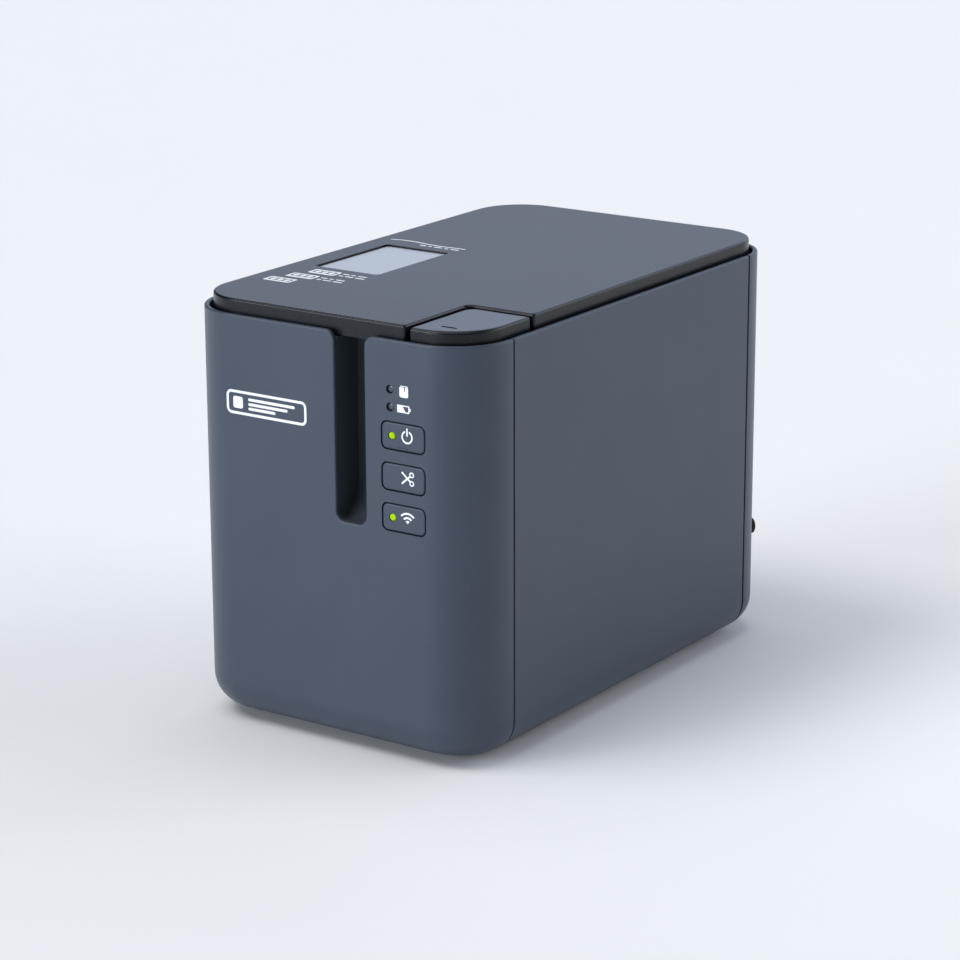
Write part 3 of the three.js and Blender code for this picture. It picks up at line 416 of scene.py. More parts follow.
def finish(name):
    """Returns a finish by name, making it the first time."""
    if name not in bpy.data.materials:
        makers = {maker.__name__: maker for maker in MATERIAL_MAKERS}
        makers[name]()
    return bpy.data.materials[name]


# ---------------------------------------------------------------- mesh tools

CORNER_STEPS = 20
SHARP_ANGLE = math.radians(35)  # edges sharper than this are rounded
CREASE_ANGLE = math.radians(50)  # edges sharper than this stay creased in the shading
FLAT_WEIGHT = 80  # how far a large flat face rules the shading at its edges
MERGE_DISTANCE = 1e-6
FLAT_ANGLE = math.radians(1)  # faces that differ by less count as one flat
BIG = 0.4  # reaches past the object on every side


def on_front(x, z, height):
    """A point on the front face, a height above it."""
    return Vector((x, -HALF_DEPTH + sizes().skin - height, z))


def on_rear(x, z, height):
    """A point on the rear face, a height above it."""
    return Vector((x, HALF_DEPTH - sizes().skin + height, z))


def on_top(x, y, height):
    """A point on the cover's top face, a height above it."""
    return Vector((x, y, TOP_Z - sizes().skin + height))


def upright(x, y, z):
    """A point over an outline drawn in plan."""
    return Vector((x, y, z))


def along_x(y, z, x):
    """A point beside an outline drawn from the side."""
    return Vector((x, y, z))


def arc(centre, radius, start, end, steps):
    """Points on an arc; the angles are in degrees."""
    points = []
    for step in range(steps + 1):
        angle = math.radians(start + (end - start) * step / steps)
        points.append(Vector((centre[0] + radius * math.cos(angle), centre[1] + radius * math.sin(angle))))
    return points


def circle(centre, radius, sides):
    """Points round a whole circle."""
    return arc(centre, radius, 0, 360 - 360 / sides, sides - 1)


def rounded_corners(corners, steps=CORNER_STEPS):
    """A closed outline of right-angled corners (x, y, radius), each drawn as an arc."""
    outline = []
    for index, (x, y, radius) in enumerate(corners):
        corner = Vector((x, y))
        before = Vector(corners[index - 1][:2])
        after = Vector(corners[(index + 1) % len(corners)][:2])
        along = (corner - before).normalized()
        onward = (after - corner).normalized()
        centre = corner - along * radius + onward * radius
        start = math.degrees(math.atan2(-onward.y, -onward.x))
        turn = 90 if along.cross(onward) > 0 else -90
        outline += arc(centre, radius, start, start + turn, steps)
    return outline


def rounded_rectangle(x_range, y_range, radius, steps=6):
    """A closed outline of a rectangle with equal round corners."""
    (x0, x1), (y0, y1) = x_range, y_range
    return rounded_corners([(x0, y0, radius), (x1, y0, radius), (x1, y1, radius), (x0, y1, radius)], steps)


def add_rings(bm, rings, closed=False):
    """Joins rings of points with equal counts into a skin; closed also joins the last to the first."""
    rows = [[bm.verts.new(point) for point in ring] for ring in rings]
    pairs = list(zip(rows, rows[1:]))
    if closed:
        pairs.append((rows[-1], rows[0]))
    for lower, upper in pairs:
        for index in range(len(lower)):
            following = (index + 1) % len(lower)
            bm.faces.new((lower[index], lower[following], upper[following], upper[index]))
    return rows


def add_prism(bm, outline, place, low, high):
    """A closed plate with the outline, from low to high above its face."""
    rows = add_rings(bm, [[place(x, y, height) for x, y in outline] for height in (low, high)])
    bm.faces.new(rows[0])
    bm.faces.new(rows[1])


def add_band(bm, left, right, place, low, high, closed=False):
    """A closed strip between two lines of points."""
    rows = []
    for side, height in ((left, high), (right, high), (right, low), (left, low)):
        rows.append([bm.verts.new(place(point[0], point[1], height)) for point in side])
    count = len(left)
    for index in range(count if closed else count - 1):
        following = (index + 1) % count
        for row, beside in zip(rows, rows[1:] + rows[:1]):
            bm.faces.new((row[index], row[following], beside[following], beside[index]))
    if not closed:
        for index in (0, count - 1):
            bm.faces.new([row[index] for row in rows])


def add_stroke(bm, points, width, place, low, high, closed=False):
    """A pen stroke of the given width along a line of points."""
    left, right = [], []
    count = len(points)
    for index, point in enumerate(points):
        before = points[index - 1] if closed or index else point
        after = points[(index + 1) % count] if closed or index < count - 1 else point
        direction = (Vector(after) - Vector(before)).normalized()
        side = Vector((-direction.y, direction.x)) * (width / 2)
        left.append(Vector(point) + side)
        right.append(Vector(point) - side)
    add_band(bm, left, right, place, low, high, closed)


def add_lathe(bm, profile, turn, steps=48):
    """Turns a profile of (radius, height) about the axis that turn maps from +Z."""
    rings = []
    for radius, height in profile:
        ring = []
        for step in range(steps):
            angle = math.tau * step / steps
            ring.append(turn @ Vector((radius * math.cos(angle), radius * math.sin(angle), height)))
        rings.append(ring)
    rows = add_rings(bm, rings)
    bm.faces.new(rows[0])
    bm.faces.new(rows[-1])


def mesh_object(name, bm):
    """Turns a finished bmesh into an object, with its faces pointing outwards."""
    bmesh.ops.recalc_face_normals(bm, faces=bm.faces)
    mesh = bpy.data.meshes.new(name)
    bm.to_mesh(mesh)
    bm.free()
    piece = bpy.data.objects.new(name, mesh)
    bpy.context.scene.collection.objects.link(piece)
    return piece


def apply_modifiers(piece):
    """Replaces a piece's mesh with what its modifiers make of it."""
    depsgraph = bpy.context.evaluated_depsgraph_get()
    mesh = bpy.data.meshes.new_from_object(piece.evaluated_get(depsgraph))
    piece.modifiers.clear()
    piece.data = mesh


def solid(draw, finish_index=0):
    """A closed solid to cut with; its cut faces take the finish with the given index."""
    bm = bmesh.new()
    draw(bm)
    for face in bm.faces:
        face.material_index = finish_index
    return mesh_object("cutter", bm)


def carve(piece, cutter, operation="DIFFERENCE"):
    """Cuts a piece with a solid, or joins them, or keeps what they share; the solid is used up."""
    modifier = piece.modifiers.new("carve", "BOOLEAN")
    modifier.operation = operation
    modifier.solver = "EXACT"
    modifier.object = cutter
    apply_modifiers(piece)
    bpy.data.objects.remove(cutter)


def soften(piece, width, segments=3):
    """Rounds the sharp edges and keeps the flats flat."""
    bevel = piece.modifiers.new("soften", "BEVEL")
    bevel.width = width
    bevel.segments = segments
    bevel.limit_method = "ANGLE"
    bevel.angle_limit = SHARP_ANGLE
    bevel.use_clamp_overlap = True
    apply_modifiers(piece)


def smooth(piece):
    """Shades the roundings smoothly and the flats flat."""
    piece.data.shade_smooth()
    piece.data.set_sharp_from_angle(angle=CREASE_ANGLE)
    weighted = piece.modifiers.new("flats", "WEIGHTED_NORMAL")
    weighted.keep_sharp = True
    weighted.weight = FLAT_WEIGHT
    apply_modifiers(piece)


def settle(piece, material, body, replaced=()):
    """Gives a piece its finish and its place in the frame."""
    if not piece.data.materials:
        piece.data.materials.append(finish(material))
    smooth(piece)
    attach(piece, body)
    if replaced:
        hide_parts(*replaced)


# ---------------------------------------------------------------- case shells

SLOT_X = (4.6 * MM, 16.6 * MM)
SLOT_BOTTOM = 78.4 * MM
SLOT_LIP = 0.8 * MM  # the panel is this thick round the slot; the chute's collar lines the rest
COLLAR_WALL = 0.85 * MM
COLLAR_GAP = 0.15 * MM
COLLAR_TOP = 137 * MM
LIGHT_HOLE = 1.45 * MM
KEY_LIGHT_HOLE = 1.35 * MM
HOLE_SIDES = 32
WALL_REACH = 4 * MM  # a cutter this deep passes through the wall
PORT_GAP = 0.5 * MM


def case_ring(inset, z):
    """The case's outline in plan, drawn in by inset, at one height."""
    s = sizes()
    x = HALF_WIDTH - s.skin - inset
    y = HALF_DEPTH - s.skin - inset
    radius = s.corner_radius - inset
    corners = [(-x, -y, radius), (x, -y, radius), (x, y, radius), (-x, y, radius)]
    return [Vector((point.x, point.y, z)) for point in rounded_corners(corners)]


def case_body():
    """The whole case as one thin-walled tub, open at the top."""
    s = sizes()
    steps = 10
    floor = CASE_FLOOR + s.skin
    rings = []
    for step in range(steps + 1):
        angle = math.radians(90 * step / steps)
        inset = s.base_radius * (1 - math.sin(angle))
        rings.append(case_ring(inset, floor + s.base_radius * (1 - math.cos(angle))))
    rings.append(case_ring(0, RIM_TOP))
    rings.append(case_ring(s.wall, RIM_TOP))
    inner_radius = s.base_radius - s.wall
    for step in range(steps, -1, -1):
        angle = math.radians(90 * step / steps)
        inset = s.wall + inner_radius * (1 - math.sin(angle))
        rings.append(case_ring(inset, floor + s.wall + inner_radius * (1 - math.cos(angle))))
    bm = bmesh.new()
    rows = add_rings(bm, rings)
    bm.faces.new(rows[0])
    bm.faces.new(rows[-1])
    return bm


def box_solid(x_range, y_range, z_range):
    """A square block to cut with."""
    outline = [(x_range[0], y_range[0]), (x_range[1], y_range[0])]
    outline += [(x_range[1], y_range[1]), (x_range[0], y_range[1])]
    return solid(lambda bm: add_prism(bm, outline, upright, z_range[0], z_range[1]))


def slot_outline():
    """The tape slot: round at the foot, flared where it meets the rim."""
    radius = sizes().slot_radius
    x0, x1 = SLOT_X
    over = RIM_TOP + 4 * MM
    outline = [Vector((x0 - radius, over))]
    outline += arc((x0 - radius, RIM_TOP - radius), radius, 90, 0, 10)
    outline += arc((x0 + radius, SLOT_BOTTOM + radius), radius, 180, 270, 10)
    outline += arc((x1 - radius, SLOT_BOTTOM + radius), radius, -90, 0, 10)
    outline += arc((x1 + radius, RIM_TOP - radius), radius, 180, 90, 10)
    outline.append(Vector((x1 + radius, over)))
    return outline


def through_front(outline, low=-WALL_REACH, high=1 * MM):
    """A cutter with the outline that passes through the front wall, or part of it."""
    return solid(lambda bm: add_prism(bm, outline, on_front, low, high))


KEY_FLANGE = 1 * MM  # a key reaches this far behind the panel all round its window


def key_window(key_name):
    """The outline of a key's window in the front panel."""
    low, high = (Vector(corner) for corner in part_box(key_name))
    x_range = (low.x + KEY_FLANGE, high.x - KEY_FLANGE)
    z_range = (low.z + KEY_FLANGE, high.z - KEY_FLANGE)
    return rounded_rectangle(x_range, z_range, sizes().key_radius)


KEYS = ("power_key", "cut_key", "wifi_key")
LIGHTS = ("status_light_pipe", "battery_light_pipe")
PORTS = ("dc_jack", "usb_device_port", "usb_host_port", "lan_port", "serial_port")
BASE_CORNERS = ("left_front", "left_rear", "right_front", "right_rear")


def middle_of(node):
    """The centre of a frame node's box."""
    low, high = (Vector(corner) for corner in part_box(node))
    return (low + high) / 2


def collar_outline(grow):
    """The chute's collar in the slot, below the flare."""
    x0, x1 = SLOT_X
    radius = sizes().slot_radius + grow
    low = SLOT_BOTTOM - grow
    high = COLLAR_TOP + grow
    return rounded_corners(
        [
            (x0 - grow, low, radius),
            (x1 + grow, low, radius),
            (x1 + grow, high, 0.3 * MM),
            (x0 - grow, high, 0.3 * MM),
        ],
        10,
    )


def cut_shell(piece, x_range, y_range):
    """Rounds the rim and then cuts one shell out of the case at its seams."""
    soften(piece, sizes().rim_softening, 4)
    carve(piece, box_solid(x_range, y_range, (-BIG, BIG)), "INTERSECT")


def front_shell():
    """The front shell, with its slot, key windows and light holes."""
    piece = mesh_object("front_shell", case_body())
    carve(piece, through_front(slot_outline()))
    cut_shell(piece, (-BIG, BIG), (-BIG, FRONT_HIGH.y))
    carve(piece, through_front(collar_outline(COLLAR_WALL + COLLAR_GAP), high=-SLOT_LIP))
    for key in KEYS:
        carve(piece, through_front(key_window(key)))
    for light in LIGHTS:
        centre = middle_of(light)
        hole = circle((centre.x, centre.z), LIGHT_HOLE, HOLE_SIDES)
        carve(piece, through_front(hole))
    soften(piece, sizes().softening, 2)
    settle(piece, "moulded_case_abs", HOUSING, ["front_panel"])


def rear_shell():
    """The rear shell, with its socket openings."""
    piece = mesh_object("rear_shell", case_body())
    cut_shell(piece, (-BIG, BIG), (REAR_LOW.y, BIG))
    for port in PORTS:
        low, high = (Vector(corner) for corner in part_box(port))
        x_range = (low.x - PORT_GAP, high.x + PORT_GAP)
        z_range = (low.z - PORT_GAP, high.z + PORT_GAP)
        outline = rounded_rectangle(x_range, z_range, 0.8 * MM, 4)
        carve(piece, solid(lambda bm: add_prism(bm, outline, on_rear, -WALL_REACH, 1 * MM)))
    soften(piece, sizes().softening, 2)
    settle(piece, "moulded_case_abs", HOUSING, ["rear_panel"])


def side_shells():
    """The right and left shells between the seams."""
    y_range = (RIGHT_LOW.y, RIGHT_HIGH.y)
    for name, x_range in (("right", (RIGHT_LOW.x, BIG)), ("left", (-BIG, -RIGHT_LOW.x))):
        piece = mesh_object(f"{name}_shell", case_body())
        cut_shell(piece, x_range, y_range)
        soften(piece, sizes().softening, 2)
        settle(piece, "moulded_case_abs", HOUSING, [f"{name}_cover"])


# ---------------------------------------------------------------- underside


def base_cover():
    """The base plate, with counterbored screws and rows of vent slots."""
    low, high = (Vector(corner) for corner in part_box("base_plate"))
    bm = bmesh.new()
    outline = rounded_rectangle((low.x, high.x), (low.y, high.y), 0.6 * MM, 3)
    add_prism(bm, outline, upright, low.z, high.z)
    piece = mesh_object("base_cover", bm)
    head_well = (3.2 * MM, low.z + 1.4 * MM)
    shank_hole = (1.8 * MM, BIG)
    for corner in BASE_CORNERS:
        centre = middle_of(f"base_screw_{corner}")
        for radius, top in (head_well, shank_hole):
            well = circle(centre.xy, radius, 36)
            carve(piece, solid(lambda bm: add_prism(bm, well, upright, -BIG, top)))

    def vents(bm):
        half_width, half_length = 1 * MM, 8 * MM
        for column in range(-4, 5):
            for row in (-1, 1):
                x = column * 5 * MM
                y = row * 12 * MM
                x_range = (x - half_width, x + half_width)
                y_range = (y - half_length, y + half_length)
                slot = rounded_rectangle(x_range, y_range, 0.95 * MM, 4)
                add_prism(bm, slot, upright, -BIG, BIG)

    carve(piece, solid(vents))
    soften(piece, 0.25 * MM, 2)
    settle(piece, "charcoal_trim_abs", HOUSING, ["base_plate"])


def rubber_foot(corner):
    """A round foot with a dished sole and a softened edge."""
    node = f"foot_{corner}"
    low, high = (Vector(point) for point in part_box(node))
    radius = (high.x - low.x) / 2
    centre = middle_of(node)
    profile = [
        (radius * 0.55, low.z + 0.35 * MM),
        (radius * 0.62, low.z),
        (radius * 0.9, low.z),
        (radius * 0.96, low.z + 0.15 * MM),
        (radius * 0.99, low.z + 0.5 * MM),
        (radius, high.z),
    ]
    bm = bmesh.new()
    add_lathe(bm, profile, Matrix.Translation((centre.x, centre.y, 0)))
    piece = mesh_object(f"rubber_{node}", bm)
    settle(piece, "moulded_rubber", HOUSING, [node])


def pan_screw(corner):
    """A pan-head screw with a cross recess, seen from below."""
    node = f"base_screw_{corner}"
    low, high = (Vector(point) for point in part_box(node))
    centre = middle_of(node)
    radius = (high.x - low.x) / 2
    head, shank = 1.1 * MM, 1.3 * MM
    profile = [(radius * 0.8, low.z), (radius * 0.95, low.z + 0.15 * MM), (radius, low.z + 0.4 * MM)]
    profile += [(radius, low.z + head), (shank, low.z + head), (shank, high.z)]
    bm = bmesh.new()
    add_lathe(bm, profile, Matrix.Translation((centre.x, centre.y, 0)), 32)
    piece = mesh_object(f"pan_screw_{corner}", bm)
    arm, half, recess = 1.5 * MM, 0.3 * MM, 0.7 * MM
    for x_half, y_half in ((arm, half), (half, arm)):
        x_range = (centre.x - x_half, centre.x + x_half)
        y_range = (centre.y - y_half, centre.y + y_half)
        carve(piece, box_solid(x_range, y_range, (-BIG, low.z + recess)))
    settle(piece, "zinc_plated_steel", HOUSING, [node])


def bumper(side_name, side):
    """A domed rubber stud on a rear corner."""
    s = sizes()
    node = f"rear_bumper_{side_name}"
    centre = middle_of(node)
    axis = Vector((side, 1, 0)).normalized()
    origin = Vector((side * (HALF_WIDTH - s.corner_radius), HALF_DEPTH - s.corner_radius, centre.z))
    turn = Matrix.Translation(origin) @ axis.to_track_quat("Z", "Y").to_matrix().to_4x4()
    radius, tip, rise = 2.8 * MM, 22.5 * MM, 1.3 * MM
    shank, shank_end = 1.7 * MM, 18 * MM
    profile = [(shank, shank_end), (shank, s.corner_radius), (radius, s.corner_radius)]
    steps = 8
    for step in range(steps + 1):
        angle = math.radians(90 * step / steps)
        dome = max(radius * math.cos(angle), 0.02 * MM)
        profile.append((dome, tip - rise + rise * math.sin(angle)))
    bm = bmesh.new()
    add_lathe(bm, profile, turn, 32)
    piece = mesh_object(f"corner_bumper_{side_name}", bm)
    settle(piece, "moulded_rubber", HOUSING, [node])


# ---------------------------------------------------------------- tape chute


def chute():
    """The dark channel behind the slot: a collar in the slot, and a floor that curves up."""
    low, high = (Vector(corner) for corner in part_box("exit_chute"))
    mouth = low.y
    back = high.y - 3 * MM
    radius = back - mouth
    ramp_top = SLOT_BOTTOM + radius
    block_front = -94 * MM
    piece = box_solid((low.x, high.x), (block_front, high.y), (low.z, high.z))
    piece.name = "tape_chute"
    depth_of_mouth = HALF_DEPTH - sizes().skin + mouth
    collar = collar_outline(COLLAR_WALL)
    collar_depth = 1.6 * MM
    carve(piece, through_front(collar, -depth_of_mouth - collar_depth, -depth_of_mouth), "UNION")
    channel = through_front(slot_outline(), -HALF_DEPTH - back, 0)
    carve(channel, box_solid(SLOT_X, (-BIG, back), (-BIG, BIG)), "INTERSECT")
    over_ramp = [Vector((-BIG, SLOT_BOTTOM)), *arc((mouth, ramp_top), radius, -90, 0, 20)]
    over_ramp += [Vector((back, BIG)), Vector((-BIG, BIG))]
    carve(channel, solid(lambda bm: add_prism(bm, over_ramp, along_x, -BIG, BIG)), "INTERSECT")
    carve(piece, channel)
    slit_x = (9 * MM, 12.2 * MM)
    carve(piece, box_solid(slit_x, (back - 1 * MM, BIG), (ramp_top + 0.5 * MM, BIG)))
    soften(piece, 0.2 * MM, 2)
    settle(piece, "dark_chute_abs", HOUSING, ["exit_chute"])


# ---------------------------------------------------------------- cover, window and button

COVER_STEP = 3 * MM  # the cover's corners are this much tighter than the case's
NOTCH = (30.6 * MM, -57.6 * MM)  # the cover's inner corner beside the release button
TIP_RADIUS = 0.8 * MM
SIDE_SLOPE = 0.1 * MM  # how far the trays' walls lean in
WINDOW_FLANGE = 1.25 * MM
PANE_GAP = 0.45 * MM


def tray_rings(corners, top, under, wall, edge, slope):
    """Rings of an upside-down tray: from its underside's edge over the top and inside again.

    Each corner is (x, y, radius, inward x, inward y)."""
    def ring(inset, z):
        shrunk = []
        for x, y, radius, in_x, in_y in corners:
            convex = in_x * in_y * turn_sign(corners, (x, y)) > 0
            bent = radius - inset if convex else radius + inset
            shrunk.append((x + in_x * inset, y + in_y * inset, max(bent, 0.1 * MM)))
        return [Vector((point.x, point.y, z)) for point in rounded_corners(shrunk, 14)]

    outside = [ring(0, under)]
    steps = 5
    for step in range(steps + 1):
        angle = math.radians(90 * step / steps)
        outside.append(ring(slope + edge * (1 - math.cos(angle)), top - edge + edge * math.sin(angle)))
    inside = [ring(wall, top - wall), ring(wall, under)]
    return outside, inside


def turn_sign(corners, point):
    """Plus one at a corner that points outwards, minus one at a notch's inner corner."""
    places = [corner[:2] for corner in corners]
    index = places.index(point)
    before = Vector(places[index - 1])
    after = Vector(places[(index + 1) % len(places)])
    here = Vector(point)
    return 1 if (here - before).cross(after - here) > 0 else -1


def tray(name, corners, top, under, edge, slope):
    """A moulded tray with its top in the first finish and its side wall in the second."""
    wall = sizes().wall
    outside, inside = tray_rings(corners, top, under, wall, edge, slope)
    bm = bmesh.new()
    rows = add_rings(bm, outside + inside)
    top_row = rows[len(outside) - 1]
    for face in [face for face in bm.faces if set(face.verts) <= set(top_row + rows[len(outside)])]:
        bm.faces.remove(face)
    top_face = bm.faces.new(top_row)
    bm.faces.new(rows[len(outside)])
    for index in range(len(rows[0])):
        following = (index + 1) % len(rows[0])
        bm.faces.new((rows[0][index], rows[0][following], rows[-1][following], rows[-1][index]))
    bm.normal_update()
    for face in bm.faces:
        face.material_index = 1
    top_face.material_index = 0
    return mesh_object(name, bm)


def cover_corners():
    """The cover's outline, with a notch for the release button."""
    s = sizes()
    x = COVER_HIGH.x - s.skin
    y = COVER_HIGH.y - s.skin
    radius = s.corner_radius - COVER_STEP
    notch_x, notch_y = NOTCH
    return [
        (-x, -y, radius, 1, 1),
        (notch_x, -y, TIP_RADIUS, -1, 1),
        (notch_x, notch_y, 3.5 * MM, -1, 1),
        (x, notch_y, TIP_RADIUS, -1, 1),
        (x, y, radius, -1, -1),
        (-x, y, radius, 1, -1),
    ]


def button_corners():
    """The release button's outline, which fills the cover's notch."""
    s = sizes()
    x = BUTTON_HIGH.x - s.skin
    y = BUTTON_LOW.y + s.skin
    radius = s.corner_radius - COVER_STEP
    return [
        (BUTTON_LOW.x, y, TIP_RADIUS, 1, 1),
        (x, y, radius, -1, 1),
        (x, BUTTON_HIGH.y, TIP_RADIUS, -1, -1),
        (BUTTON_LOW.x, BUTTON_HIGH.y, 2.6 * MM, 1, -1),
    ]


def window_box():
    """The opening over the pane, which is narrower than the pane's flange."""
    low, high = (Vector(corner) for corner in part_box("cover_window"))
    x_range = (low.x + WINDOW_FLANGE, high.x - WINDOW_FLANGE)
    y_range = (low.y + WINDOW_FLANGE, high.y - WINDOW_FLANGE)
    return x_range, y_range


def cover_shell():
    """The hinged cover, with its window opening and two slots over the hinge ears."""
    top = COVER_HIGH.z - sizes().skin
    piece = tray("cover_shell", cover_corners(), top, COVER_LOW.z, 0.8 * MM, SIDE_SLOPE)
    piece.data.materials.append(finish("moulded_cover_abs"))
    piece.data.materials.append(finish("charcoal_trim_abs"))
    x_range, y_range = window_box()
    outline = rounded_rectangle(x_range, y_range, 1.5 * MM)
    # The opening's walls take the second finish, the charcoal: painted shade that stands in for the shadow
    # in the recess round the pane.
    carve(piece, solid(lambda bm: add_prism(bm, outline, upright, COVER_LOW.z, BIG), 1))
    ear_slot_y = (88.5 * MM, BIG)
    ear_slot_z = (0, 145.2 * MM)
    for side in (-1, 1):
        span = sorted((side * 29.6 * MM, side * 34.4 * MM))
        carve(piece, box_solid(span, ear_slot_y, ear_slot_z))
    soften(piece, 0.2 * MM, 2)
    settle(piece, "moulded_cover_abs", "cover", ["top_cover"])


def hinge_ribs():
    """The cheeks inside the cover that hold the hinge pins."""
    pin = middle_of("hinge_pin_right")
    half = 0.85 * MM
    root = 144.15 * MM
    nose = 1.75 * MM
    for side_name, side in (("left", -1), ("right", 1)):
        for place, x in (("inner", 28.65 * MM), ("outer", 35.35 * MM)):
            centre_x = side * x
            bm = bmesh.new()
            profile = [Vector((91.2 * MM, root)), Vector((88.6 * MM, root))]
            profile += arc((pin.y, pin.z), nose, 200, 290, 8)
            profile.append(Vector((91.4 * MM, pin.z)))
            add_prism(bm, profile, along_x, centre_x - half, centre_x + half)
            piece = mesh_object(f"hinge_rib_{side_name}_{place}", bm)
            settle(piece, "charcoal_trim_abs", "cover")


def window_pane():
    """The frosted pane, a little below the top, with a shallow pillowed edge."""
    low, high = (Vector(corner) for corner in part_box("cover_window"))
    (x0, x1), (y0, y1) = window_box()
    pillow = (
        (0, low.z),
        (0, high.z - 0.3 * MM),
        (0.1 * MM, high.z - 0.1 * MM),
        (0.35 * MM, high.z),
    )
    bm = bmesh.new()
    rings = []
    for inset, z in pillow:
        edge = PANE_GAP + inset
        outline = rounded_rectangle((x0 + edge, x1 - edge), (y0 + edge, y1 - edge), 1.3 * MM)
        rings.append([Vector((point.x, point.y, z)) for point in outline])
    rows = add_rings(bm, rings)
    bm.faces.new(rows[0])
    bm.faces.new(rows[-1])
    piece = mesh_object("frosted_pane", bm)
    settle(piece, "frosted_polycarbonate", "cover", ["cover_window"])


def button_cap():
    """The release button: a cap with a small bar-shaped recess, and its stem."""
    top = BUTTON_HIGH.z
    piece = tray("release_cap", button_corners(), top, COVER_LOW.z, 0.9 * MM, SIDE_SLOPE)
    # The top takes the paler button finish, which is painted light for the light the top catches.
    piece.data.materials.append(finish("button_abs_painted_light"))
    piece.data.materials.append(finish("charcoal_trim_abs"))
    soften(piece, 0.25 * MM, 3)
    dash = rounded_rectangle((39.5 * MM, 45.4 * MM), (-86.1 * MM, -84.9 * MM), 0.5 * MM, 4)
    dash_floor = top - 0.8 * MM
    # The recess's walls and floor take the second finish, the charcoal: painted shade that darkens the
    # groove.
    carve(piece, solid(lambda bm: add_prism(bm, dash, upright, dash_floor, BIG), 1))
    settle(piece, "button_abs_painted_light", "release_button", ["release_button"])
    stem = mesh_object("release_stem", release_stem())
    soften(stem, 0.2 * MM, 2)
    settle(stem, "charcoal_trim_abs", "release_button")


def release_stem():
    """The square stem under the cap; its foot slopes down to the rear and drives the latch."""
    bm = bmesh.new()
    half = 1.8 * MM
    x, y = 44.5 * MM, -76 * MM
    foot = BUTTON_LOW.z
    top = BUTTON_HIGH.z - 1.9 * MM
    profile = [(y - half, foot + 2 * half), (y + half, foot), (y + half, top), (y - half, top)]
    add_prism(bm, profile, along_x, x - half, x + half)
    return bm


# ---------------------------------------------------------------- keys and lights


def key_cap(node):
    """A key with a softly crowned face and a flange behind the panel."""
    s = sizes()
    low, high = (Vector(corner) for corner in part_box(node))
    crown = ((0, 3.3), (0, 0.45), (0.1, 0.2), (0.28, 0.06), (0.55, 0.0))
    bm = bmesh.new()
    rings = []
    for inset, depth in crown:
        edge = KEY_FLANGE + s.key_gap + inset * MM
        x_range = (low.x + edge, high.x - edge)
        z_range = (low.z + edge, high.z - edge)
        radius = max(s.key_radius - s.key_gap - inset * MM, 0.3 * MM)
        outline = rounded_rectangle(x_range, z_range, radius, 8)
        rings.append([on_front(x, z, -depth * MM) for x, z in outline])
    rows = add_rings(bm, rings)
    bm.faces.new(rows[0])
    bm.faces.new(rows[-1])
    piece = mesh_object(f"{node}_cap", bm)
    if node != "cut_key":
        lens = middle_of(node.replace("key", "lens"))
        hole = circle((lens.x, lens.z), KEY_LIGHT_HOLE, HOLE_SIDES)
        carve(piece, through_front(hole))
    soften(piece, 0.12 * MM, 2)
    if node == "power_key":
        carve(piece, solid(tactile_groove))
    settle(piece, "moulded_case_abs", node, [node])
    key_flange(node, low, high)


def tactile_groove(bm):
    """A ring-shaped groove that leaves a small bar to find the power key by touch."""
    x, z = 31.5 * MM, 106.5 * MM
    half_length, half_height = 1.8 * MM, 0.42 * MM
    width, depth = 0.16 * MM, 0.15 * MM
    x_range = (x - half_length, x + half_length)
    z_range = (z - half_height, z + half_height)
    outline = rounded_rectangle(x_range, z_range, 0.4 * MM)
    add_stroke(bm, outline, width, on_front, -depth, 1 * MM, closed=True)


def key_flange(node, low, high):
    """The plate behind the panel that keeps a key from falling out."""
    back, front = -3.35 * MM, -2.25 * MM
    bm = bmesh.new()
    outline = rounded_rectangle((low.x, high.x), (low.z, high.z), 3.2 * MM)
    add_prism(bm, outline, on_front, back, front)
    piece = mesh_object(f"{node}_flange", bm)
    soften(piece, 0.15 * MM, 2)
    settle(piece, "charcoal_trim_abs", node)


def light_face(node, body, material):
    """A light pipe with a slightly domed face."""
    low, high = (Vector(corner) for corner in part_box(node))
    centre = middle_of(node)
    radius = (high.x - low.x) / 2
    axis = Matrix.Translation((centre.x, low.y, centre.z)) @ Matrix.Rotation(math.radians(90), 4, "X")
    length_behind = high.y - low.y
    shoulder, dome = 0.35 * MM, 0.3 * MM
    profile = [(radius, -length_behind), (radius, -shoulder)]
    for degrees in (30, 60, 80):
        angle = math.radians(degrees)
        profile.append((radius * math.cos(angle) ** 0.5, dome * math.sin(angle) - shoulder))
    bm = bmesh.new()
    add_lathe(bm, profile, axis, 32)
    piece = mesh_object(f"{node}_face", bm)
    settle(piece, material, body, [node])


# ---------------------------------------------------------------- printed marks


def mark(name, body, draw):
    """A printed mark: a film of ink on a face."""
    bm = bmesh.new()
    draw(bm)
    piece = mesh_object(name, bm)
    piece.data.materials.append(finish("screen_ink"))
    for polygon in piece.data.polygons:
        polygon.use_smooth = False
    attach(piece, body)


def draw_power(bm, centre, place):
    """A ring, open at the top, with an upright bar in the opening."""
    ink = sizes().ink
    pen = 0.56 * MM
    opening = 22
    ring = arc(centre, 1.92 * MM, 90 + opening, 450 - opening, 44)
    add_stroke(bm, ring, pen, place, 0, ink)
    bar = [Vector((centre.x, centre.y + 0.3 * MM)), Vector((centre.x, centre.y + 2.9 * MM))]
    add_stroke(bm, bar, pen, place, 0, ink)


def draw_scissors(bm, centre, place):
    """Two crossed blades in layers, each ending in a finger loop."""
    ink = sizes().ink
    layer = ink * 0.2
    for side, low in ((-1, 0), (1, layer)):
        top = ink + low - layer
        tip = centre + Vector((-2.2, side * 1.9)) * MM
        handle = centre + Vector((1.0, side * -0.85)) * MM
        add_stroke(bm, [tip, handle], 0.6 * MM, place, low, top)
        loop = circle(centre + Vector((1.65, side * -1.4)) * MM, 0.72 * MM, 24)
        add_stroke(bm, loop, 0.45 * MM, place, low, top, closed=True)


